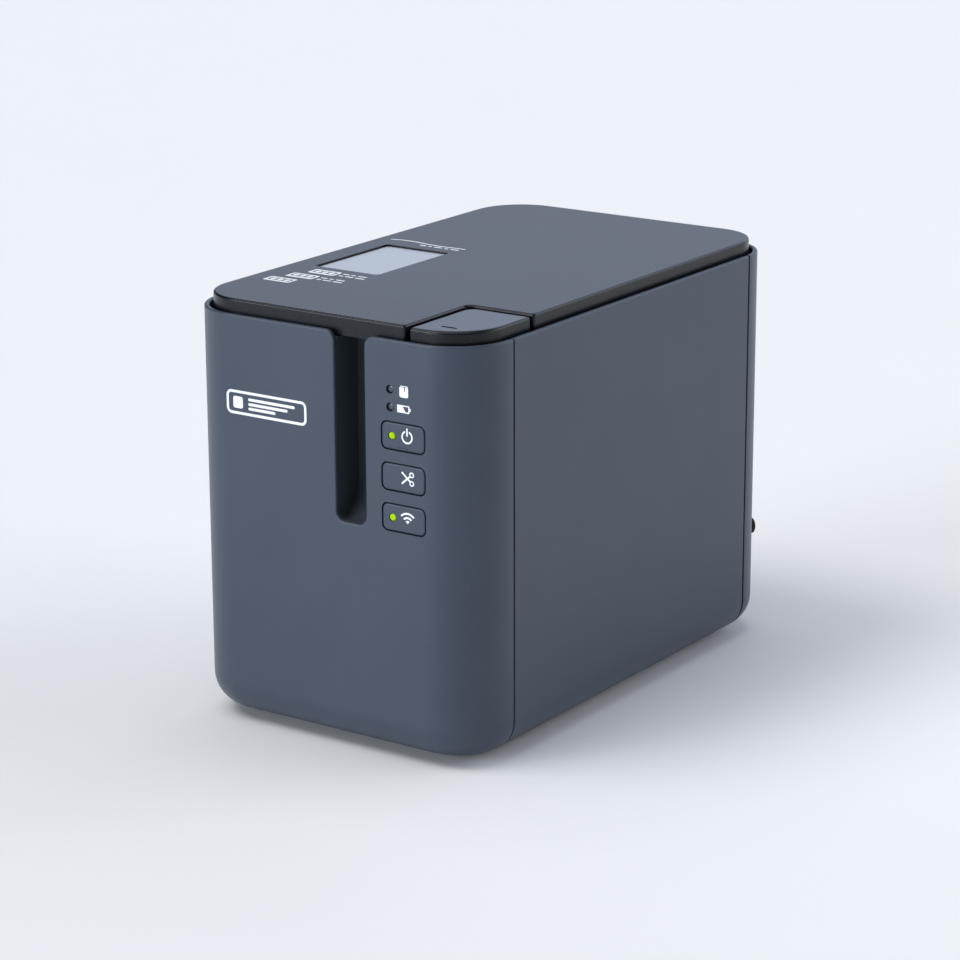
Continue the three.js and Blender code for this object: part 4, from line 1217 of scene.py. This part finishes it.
def draw_wireless(bm, centre, place):
    """A small wedge with two arcs over it."""
    ink = sizes().ink
    foot = centre + Vector((0, -2.0)) * MM
    wedge = [foot + Vector((0.0, 0.1)) * MM, *arc(foot, 1.15 * MM, 48, 132, 8)]
    add_prism(bm, wedge, place, 0, ink)
    for radius in (2.05, 3.45):
        add_stroke(bm, arc(foot, radius * MM, 44, 136, 24), 0.66 * MM, place, 0, ink)


def draw_cassette(bm, x_range, z_range):
    """A cassette seen from the side: a filled body with a slit, under a thin lid."""
    ink = sizes().ink
    x0, x1 = x_range
    z0, z1 = z_range
    body_top = z1 - 0.5 * MM
    radius = 0.7 * MM
    slit = (x0 + 1.8 * MM, x0 + 2.2 * MM)
    slit_foot = body_top - 1.2 * MM
    outline = arc((x0 + radius, z0 + radius), radius, 180, 270, 6)
    outline += arc((x1 - radius, z0 + radius), radius, -90, 0, 6)
    outline += [Vector((x1, body_top)), Vector((slit[1], body_top)), Vector((slit[1], slit_foot))]
    outline += [Vector((slit[0], slit_foot)), Vector((slit[0], body_top)), Vector((x0, body_top))]
    add_prism(bm, outline, on_front, 0, ink)
    lid = [(x0 + 0.4 * MM, z1 - 0.3 * MM), (x1 - 0.1 * MM, z1 - 0.3 * MM)]
    lid += [(x1 - 0.1 * MM, z1), (x0 + 0.4 * MM, z1)]
    add_prism(bm, lid, on_front, 0, ink)


def draw_battery(bm, x_range, z_range):
    """A battery lying down, two thirds full, with its terminal on the right."""
    ink = sizes().ink
    x0, x1 = x_range
    z0, z1 = z_range
    body_end = x1 - 0.5 * MM
    rim = 0.38 * MM
    outer = [Vector((x0, z0)), Vector((body_end, z0)), Vector((body_end, z1)), Vector((x0, z1))]
    inner = [
        Vector((x0 + rim, z0 + rim)),
        Vector((body_end - rim, z0 + rim)),
        Vector((body_end - rim, z1 - rim)),
        Vector((x0 + rim, z1 - rim)),
    ]
    add_band(bm, outer, inner, on_front, 0, ink, closed=True)
    charge = [inner[0], Vector((x0 + 3.2 * MM, z0 + rim)), Vector((x0 + 2.1 * MM, z1 - rim)), inner[3]]
    add_prism(bm, charge, on_front, 0, ink)
    middle = (z0 + z1) / 2
    terminal = [(body_end, middle - 0.6 * MM), (x1, middle - 0.45 * MM), (x1, middle + 0.45 * MM)]
    terminal.append((body_end, middle + 0.6 * MM))
    add_prism(bm, terminal, on_front, 0, ink)


def draw_bars(bm, place, x0, y0, rows):
    """Rows of short bars: (offset up, [(start, end), ...]) in millimetres, each 0.9 mm thick."""
    ink = sizes().ink
    for lift, spans in rows:
        for start, end in spans:
            y = y0 + lift * MM
            outline = rounded_rectangle((x0 + start * MM, x0 + end * MM), (y, y + 0.9 * MM), 0.3 * MM, 3)
            add_prism(bm, outline, place, 0, ink)


def draw_label_strip(bm):
    """A plain pictogram of a cut label: a rounded frame with a picture square and three lines."""
    ink = sizes().ink
    outline = rounded_rectangle((-39.2 * MM, -7.2 * MM), (108.6 * MM, 115.8 * MM), 1.6 * MM)
    add_stroke(bm, outline, 0.9 * MM, on_front, 0, ink, closed=True)
    square = rounded_rectangle((-36.9 * MM, -32.9 * MM), (110.2 * MM, 114.2 * MM), 0.8 * MM)
    add_prism(bm, square, on_front, 0, ink)
    for z, end in ((113.2, -11.5), (111.6, -14.5), (110.1, -19.5)):
        z_range = (z * MM, (z + 0.95) * MM)
        bar = rounded_rectangle((-30.6 * MM, end * MM), z_range, 0.35 * MM, 3)
        add_prism(bm, bar, on_front, 0, ink)


def draw_tape_guide(bm):
    """Three plain cassette pictograms down the cover, two of them with rows of measure ticks."""
    ink = sizes().ink
    for x, y in ((-48.6, -64.6), (-45.6, -56.2), (-42.6, -47.8)):
        x0, y0 = x * MM, y * MM
        outer = rounded_rectangle((x0, x0 + 11 * MM), (y0, y0 + 5.6 * MM), 0.8 * MM, 4)
        inner_x = (x0 + 0.9 * MM, x0 + 10.1 * MM)
        inner_y = (y0 + 1.4 * MM, y0 + 4.6 * MM)
        inner = rounded_rectangle(inner_x, inner_y, 0.5 * MM, 4)
        add_band(bm, outer, inner, on_top, 0, ink, closed=True)
        for offset in (2.7, 5.5, 8.3):
            reel = circle((x0 + offset * MM, y0 + 3 * MM), 1.15 * MM, 18)
            add_prism(bm, reel, on_top, 0, ink)
    for x, y in ((-33.2, -56.2), (-30.2, -47.8)):
        rows = [(3.6, [(0, 2.6), (3.4, 5.2), (6.2, 9.8)]), (1.0, [(0, 1.8), (2.6, 6.0), (6.8, 10.6)])]
        draw_bars(bm, on_top, x * MM, y * MM, rows)


def draw_strip_guide(bm):
    """A thin curl of tape with a few ticks under it, behind the window."""
    ink = sizes().ink
    start = Vector((-50.5 * MM, 11.5 * MM))
    steps, reach, swell = 48, 32 * MM, 1.5 * MM
    wave = []
    for step in range(steps + 1):
        along = step / steps
        lift = swell * math.sin(along * math.tau) * (1 - along)
        wave.append(start + Vector((reach * along, lift)))
    add_stroke(bm, wave, 0.75 * MM, on_top, 0, ink)
    ticks = [(0, 2.6), (3.6, 5), (6, 9.4), (10.4, 12), (13, 16.6)]
    draw_bars(bm, on_top, -36 * MM, 8.4 * MM, [(0, ticks)])


# ---------------------------------------------------------------- inside

# node: (body, slot, finish, width of the edge rounding in millimetres)
INNER_FRAME = {
    "deck": (HOUSING, "black_abs", "black_inner_abs", 0.3),
    "cassette_tub": (HOUSING, "inner_abs", "grey_inner_abs", 0.4),
    "cover_liner": ("cover", "black_abs", "black_inner_abs", 0.3),
    "hinge_pin_left": ("cover", "steel", "zinc_plated_steel", 0.1),
    "hinge_pin_right": ("cover", "steel", "zinc_plated_steel", 0.1),
    "latch_slider": ("latch_slider", "inner_abs", "grey_inner_abs", 0.3),
}
MECHANISM = {
    "roller_holder": ("roller_holder", "dark_abs", "charcoal_trim_abs", 0.3),
    "platen_shaft": ("platen", "steel", "zinc_plated_steel", 0.15),
    "platen_gear": ("platen", "acetal", "natural_acetal", 0.12),
    "idler_gear_a": ("idler_gear_a", "acetal", "natural_acetal", 0.12),
    "idler_gear_b": ("idler_gear_b", "acetal", "natural_acetal", 0.12),
    "motor_pinion": ("motor_pinion", "brass", "turned_brass", 0.1),
    "ribbon_spindle": ("ribbon_spindle", "acetal", "natural_acetal", 0.15),
    "gear_plate": (HOUSING, "steel", "zinc_plated_steel", 0.15),
    "drive_motor": (HOUSING, "steel", "zinc_plated_steel", 0.5),
    "head_bracket": (HOUSING, "steel", "zinc_plated_steel", 0.2),
    "print_head": (HOUSING, "steel", "zinc_plated_steel", 0.1),
    "cutter_frame": (HOUSING, "steel", "zinc_plated_steel", 0.15),
    "fixed_blade": (HOUSING, "steel", "zinc_plated_steel", 0.1),
    "moving_blade": ("moving_blade", "steel", "zinc_plated_steel", 0.1),
    "cutter_pinion": ("cutter_pinion", "brass", "turned_brass", 0.1),
    "cutter_motor": (HOUSING, "steel", "zinc_plated_steel", 0.4),
}
ELECTRONICS = {
    "key_board": (HOUSING, "board", "solder_mask", 0.1),
    "main_board": (HOUSING, "board", "solder_mask", 0.1),
    "io_board": (HOUSING, "board", "solder_mask", 0.1),
    "wifi_module": (HOUSING, "steel", "zinc_plated_steel", 0.2),
    "dc_jack": (HOUSING, "black_abs", "black_inner_abs", 0.2),
    "usb_device_port": (HOUSING, "steel", "zinc_plated_steel", 0.2),
    "usb_host_port": (HOUSING, "steel", "zinc_plated_steel", 0.2),
    "lan_port": (HOUSING, "steel", "zinc_plated_steel", 0.2),
    "serial_port": (HOUSING, "black_abs", "black_inner_abs", 0.2),
}


def softened_copy(node, body, slot, material, width_mm):
    """A piece with the node's shape, its flat faces merged and its edges rounded."""
    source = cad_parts[node]
    bm = bmesh.new()
    bm.from_mesh(source.data)
    bm.transform(source.matrix_world)
    bmesh.ops.remove_doubles(bm, verts=bm.verts, dist=MERGE_DISTANCE)
    bmesh.ops.dissolve_limit(
        bm,
        angle_limit=FLAT_ANGLE,
        use_dissolve_boundaries=False,
        verts=bm.verts,
        edges=bm.edges,
    )
    for face in bm.faces:
        face.material_index = 0
    piece = mesh_object(f"{node}_piece", bm)
    soften(piece, width_mm * MM, 2)
    settle(piece, material, body, [node])


def platen():
    """The rubber roller that feeds the tape, ground round, with chamfered ends."""
    low, high = (Vector(corner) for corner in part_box("platen_roller"))
    centre = middle_of("platen_roller")
    radius = (high.x - low.x) / 2
    bore = 1.55 * MM
    chamfer = 0.4 * MM
    profile = [(bore, low.z), (radius - chamfer, low.z), (radius, low.z + chamfer)]
    profile += [(radius, high.z - chamfer), (radius - chamfer, high.z), (bore, high.z)]
    bm = bmesh.new()
    rings = []
    for ring_radius, z in profile:
        ring = circle(centre.xy, ring_radius, 60)
        rings.append([Vector((point.x, point.y, z)) for point in ring])
    add_rings(bm, rings, closed=True)
    piece = mesh_object("platen_rubber_roller", bm)
    settle(piece, "platen_rubber", "platen", ["platen_roller"])


def release_spring():
    """The coil spring under the release button, which closes up as the button goes down."""
    low, high = (Vector(corner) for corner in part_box("release_spring"))
    centre = middle_of("release_spring")
    wire = 0.35 * MM
    radius = (high.x - low.x) / 2 - wire
    turns, steps, sides = 5, 28, 10
    rise = high.z - low.z - 2 * wire
    bm = bmesh.new()
    rings = []
    for step in range(turns * steps + 1):
        angle = math.tau * step / steps
        height = low.z + wire + rise * step / (turns * steps)
        out = Vector((math.cos(angle), math.sin(angle), 0))
        middle = Vector((centre.x, centre.y, height)) + out * radius
        ring = []
        for corner in range(sides):
            turn = math.tau * corner / sides
            ring.append(middle + (out * math.cos(turn) + Vector((0, 0, math.sin(turn)))) * wire)
        rings.append(ring)
    rows = add_rings(bm, rings)
    bm.faces.new(rows[0])
    bm.faces.new(rows[-1])
    piece = mesh_object("release_coil", bm)
    settle(piece, "zinc_plated_steel", HOUSING, ["release_spring"])
    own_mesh(piece)


# ---------------------------------------------------------------- stage


CAMERA_ANGLES = (34.49, 16.211, -0.224)  # azimuth, elevation and roll in degrees
CAMERA_AIM = Vector((-13.6, 12.8, 62.76)) * MM
CAMERA_DISTANCE = 1.12744
CAMERA_LENS_MM = 118.95
CAMERA_SENSOR_MM = 36
CAMERA_CLIP = (0.05, 50)
FLOOR_RADIUS = 9
FLOOR_THICKNESS = 0.02


def camera():
    """A long lens, a little above the object, from the front right."""
    azimuth, elevation, roll = (math.radians(angle) for angle in CAMERA_ANGLES)
    back = Vector((
        math.sin(azimuth) * math.cos(elevation),
        -math.cos(azimuth) * math.cos(elevation),
        math.sin(elevation),
    ))
    right = Vector((math.cos(azimuth), math.sin(azimuth), 0))
    up = back.cross(right)
    tilted_right = right * math.cos(roll) + up * math.sin(roll)
    tilted_up = up * math.cos(roll) - right * math.sin(roll)
    data = bpy.data.cameras.new("studio_camera")
    data.lens = CAMERA_LENS_MM
    data.sensor_width = CAMERA_SENSOR_MM
    data.clip_start, data.clip_end = CAMERA_CLIP
    placed = bpy.data.objects.new("studio_camera", data)
    turn = Matrix((tilted_right, tilted_up, back)).transposed().to_4x4()
    placed.matrix_world = Matrix.Translation(CAMERA_AIM + back * CAMERA_DISTANCE) @ turn
    bpy.context.scene.collection.objects.link(placed)
    bpy.context.scene.camera = placed


def studio_floor():
    """A wide round floor of pale paper."""
    bm = bmesh.new()
    add_prism(bm, circle((0, 0), FLOOR_RADIUS, 120), upright, -FLOOR_THICKNESS, 0)
    piece = mesh_object("studio_floor", bm)
    piece.data.materials.append(finish("matte_studio_paper"))


def soft_sun(name, direction, strength, spread, tint):
    """A very wide sun, which lights like a large softbox in that direction."""
    data = bpy.data.lights.new(name, "SUN")
    data.energy = strength
    data.angle = math.radians(spread)
    data.color = linear(tint)[:3]
    placed = bpy.data.objects.new(name, data)
    placed.rotation_euler = Vector(direction).to_track_quat("Z", "Y").to_euler()
    bpy.context.scene.collection.objects.link(placed)


# name, direction, strength, width in degrees and tint of each softbox
SOFTBOXES = (
    ("top_softbox", (-0.2, -0.1, 1.0), 1.1, 60, "#fbfdff"),
    ("key_lamp", (-0.42, -0.36, 0.85), 0.7, 26, "#ffffff"),
    ("front_left_softbox", (-0.45, -1.0, 0.12), 2.9, 40, "#edf5ff"),
    ("right_back_softbox", (0.8, 0.6, 0.35), 1.2, 50, "#f7f9ff"),
    ("back_softbox", (-0.4, 0.9, 0.35), 0.5, 50, "#dfeaff"),
    ("back_right_softbox", (0.3, 1.0, 0.5), 0.75, 50, "#d3e2ff"),
)
WORLD_TINT = "#eef1f6"
WORLD_STRENGTH = 0.06


def world_light():
    """A faint even light from all round, as from a pale studio's walls."""
    world = bpy.data.worlds.new("studio_air")
    world.use_nodes = True
    tree = world.node_tree
    tree.nodes.clear()
    background = add_node(
        tree, "ShaderNodeBackground", {"Color": linear(WORLD_TINT), "Strength": WORLD_STRENGTH}
    )
    add_node(tree, "ShaderNodeOutputWorld", None, {"Surface": background.outputs["Background"]})
    bpy.context.scene.world = world


# ---------------------------------------------------------------- operators


class BuildOperator:
    """What the building steps share: each runs its own build."""

    bl_options = {"REGISTER", "UNDO"}

    def execute(self, context):
        self.build()
        return {"FINISHED"}


class LABELMAKER_OT_stage(BuildOperator, bpy.types.Operator):
    """Adds the floor, the lights and the camera"""

    bl_idname = "label_maker.stage"
    bl_label = "Stage"

    def build(self):
        camera()
        studio_floor()
        world_light()
        for name, direction, strength, spread, tint in SOFTBOXES:
            soft_sun(name, direction, strength, spread, tint)
        bpy.context.scene.view_settings.view_transform = "Standard"


class LABELMAKER_OT_case(BuildOperator, bpy.types.Operator):
    """Makes the front, rear and side shells"""

    bl_idname = "label_maker.case"
    bl_label = "Case shells"

    def build(self):
        front_shell()
        rear_shell()
        side_shells()


class LABELMAKER_OT_underside(BuildOperator, bpy.types.Operator):
    """Makes the base cover with its feet and screws, and the corner bumpers"""

    bl_idname = "label_maker.underside"
    bl_label = "Underside and bumpers"

    def build(self):
        base_cover()
        for corner in BASE_CORNERS:
            rubber_foot(corner)
            pan_screw(corner)
        bumper("left", -1)
        bumper("right", 1)


class LABELMAKER_OT_chute(BuildOperator, bpy.types.Operator):
    """Makes the tape chute behind the slot"""

    bl_idname = "label_maker.chute"
    bl_label = "Tape chute"

    def build(self):
        chute()


class LABELMAKER_OT_cover(BuildOperator, bpy.types.Operator):
    """Makes the hinged cover with its window"""

    bl_idname = "label_maker.cover"
    bl_label = "Cover and window"

    def build(self):
        cover_shell()
        hinge_ribs()
        window_pane()


class LABELMAKER_OT_button(BuildOperator, bpy.types.Operator):
    """Makes the release button"""

    bl_idname = "label_maker.button"
    bl_label = "Release button"

    def build(self):
        button_cap()


class LABELMAKER_OT_keys(BuildOperator, bpy.types.Operator):
    """Makes the three keys and the lights"""

    bl_idname = "label_maker.keys"
    bl_label = "Keys and lights"

    def build(self):
        for key in KEYS:
            key_cap(key)
        for key in ("power", "wifi"):
            light_face(f"{key}_lens", f"{key}_key", "lit_light_pipe")
        for light in LIGHTS:
            light_face(light, HOUSING, "unlit_light_pipe")


class LABELMAKER_OT_marks(BuildOperator, bpy.types.Operator):
    """Prints the pictograms"""

    bl_idname = "label_maker.marks"
    bl_label = "Printed marks"

    def build(self):
        on_key = {
            "power_key": (draw_power, (33.2, 110.6)),
            "cut_key": (draw_scissors, (33.2, 97.0)),
            "wifi_key": (draw_wireless, (33.1, 83.9)),
        }
        for key, (draw, (x, z)) in on_key.items():
            centre = Vector((x * MM, z * MM))
            mark(f"{key}_mark", key, lambda bm: draw(bm, centre, on_front))
        mark("cassette_mark", HOUSING,
             lambda bm: draw_cassette(bm, (30.4 * MM, 33.8 * MM), (123.4 * MM, 127.2 * MM)))
        mark("battery_mark", HOUSING,
             lambda bm: draw_battery(bm, (29.5 * MM, 34.7 * MM), (118.4 * MM, 120.9 * MM)))
        mark("label_strip_mark", HOUSING, draw_label_strip)
        mark("tape_guide_mark", "cover", draw_tape_guide)
        mark("strip_guide_mark", "cover", draw_strip_guide)


class LABELMAKER_OT_inner_frame(BuildOperator, bpy.types.Operator):
    """Makes the deck, the cassette tub, the liner, the hinge pins and the latch slider"""

    bl_idname = "label_maker.inner_frame"
    bl_label = "Inner frame"

    def build(self):
        for node, settings in INNER_FRAME.items():
            softened_copy(node, *settings)


class LABELMAKER_OT_mechanism(BuildOperator, bpy.types.Operator):
    """Makes the gear train, the print head and the cutter"""

    bl_idname = "label_maker.mechanism"
    bl_label = "Print and cut mechanism"

    def build(self):
        for node, settings in MECHANISM.items():
            softened_copy(node, *settings)


class LABELMAKER_OT_electronics(BuildOperator, bpy.types.Operator):
    """Makes the boards, the wireless module and the sockets"""

    bl_idname = "label_maker.electronics"
    bl_label = "Boards and sockets"

    def build(self):
        for node, settings in ELECTRONICS.items():
            softened_copy(node, *settings)


class LABELMAKER_OT_platen(BuildOperator, bpy.types.Operator):
    """Makes the platen roller"""

    bl_idname = "label_maker.platen"
    bl_label = "Platen roller"

    def build(self):
        platen()


class LABELMAKER_OT_spring(BuildOperator, bpy.types.Operator):
    """Makes the release spring"""

    bl_idname = "label_maker.spring"
    bl_label = "Release spring"

    def build(self):
        release_spring()


OPERATORS = (
    LABELMAKER_OT_stage,
    LABELMAKER_OT_case,
    LABELMAKER_OT_underside,
    LABELMAKER_OT_chute,
    LABELMAKER_OT_cover,
    LABELMAKER_OT_button,
    LABELMAKER_OT_keys,
    LABELMAKER_OT_marks,
    LABELMAKER_OT_inner_frame,
    LABELMAKER_OT_mechanism,
    LABELMAKER_OT_electronics,
    LABELMAKER_OT_platen,
    LABELMAKER_OT_spring,
)


class LABELMAKER_PT_panel(bpy.types.Panel):
    """Lists the sizes, the colours and the building steps"""

    bl_idname = "LABELMAKER_PT_panel"
    bl_label = "Label Maker"
    bl_space_type = "VIEW_3D"
    bl_region_type = "UI"
    bl_category = "Label Maker"

    def draw(self, context):
        for settings in (context.scene.label_maker_sizes, context.scene.label_maker_colours):
            box = self.layout.box()
            for name in settings.bl_rna.properties.keys():
                if name not in ("rna_type", "name"):
                    box.prop(settings, name)
        for operator in OPERATORS:
            self.layout.operator(operator.bl_idname)


CLASSES = (LabelMakerSizes, LabelMakerColours, *OPERATORS, LABELMAKER_PT_panel)


def register():
    for item in CLASSES:
        bpy.utils.register_class(item)
    bpy.types.Scene.label_maker_sizes = bpy.props.PointerProperty(type=LabelMakerSizes)
    bpy.types.Scene.label_maker_colours = bpy.props.PointerProperty(type=LabelMakerColours)


def unregister():
    del bpy.types.Scene.label_maker_colours
    del bpy.types.Scene.label_maker_sizes
    for item in reversed(CLASSES):
        bpy.utils.unregister_class(item)


def main():
    register()
    for operator in OPERATORS:
        group, name = operator.bl_idname.split(".")
        getattr(getattr(bpy.ops, group), name)()


if __name__ == "__main__":
    main()
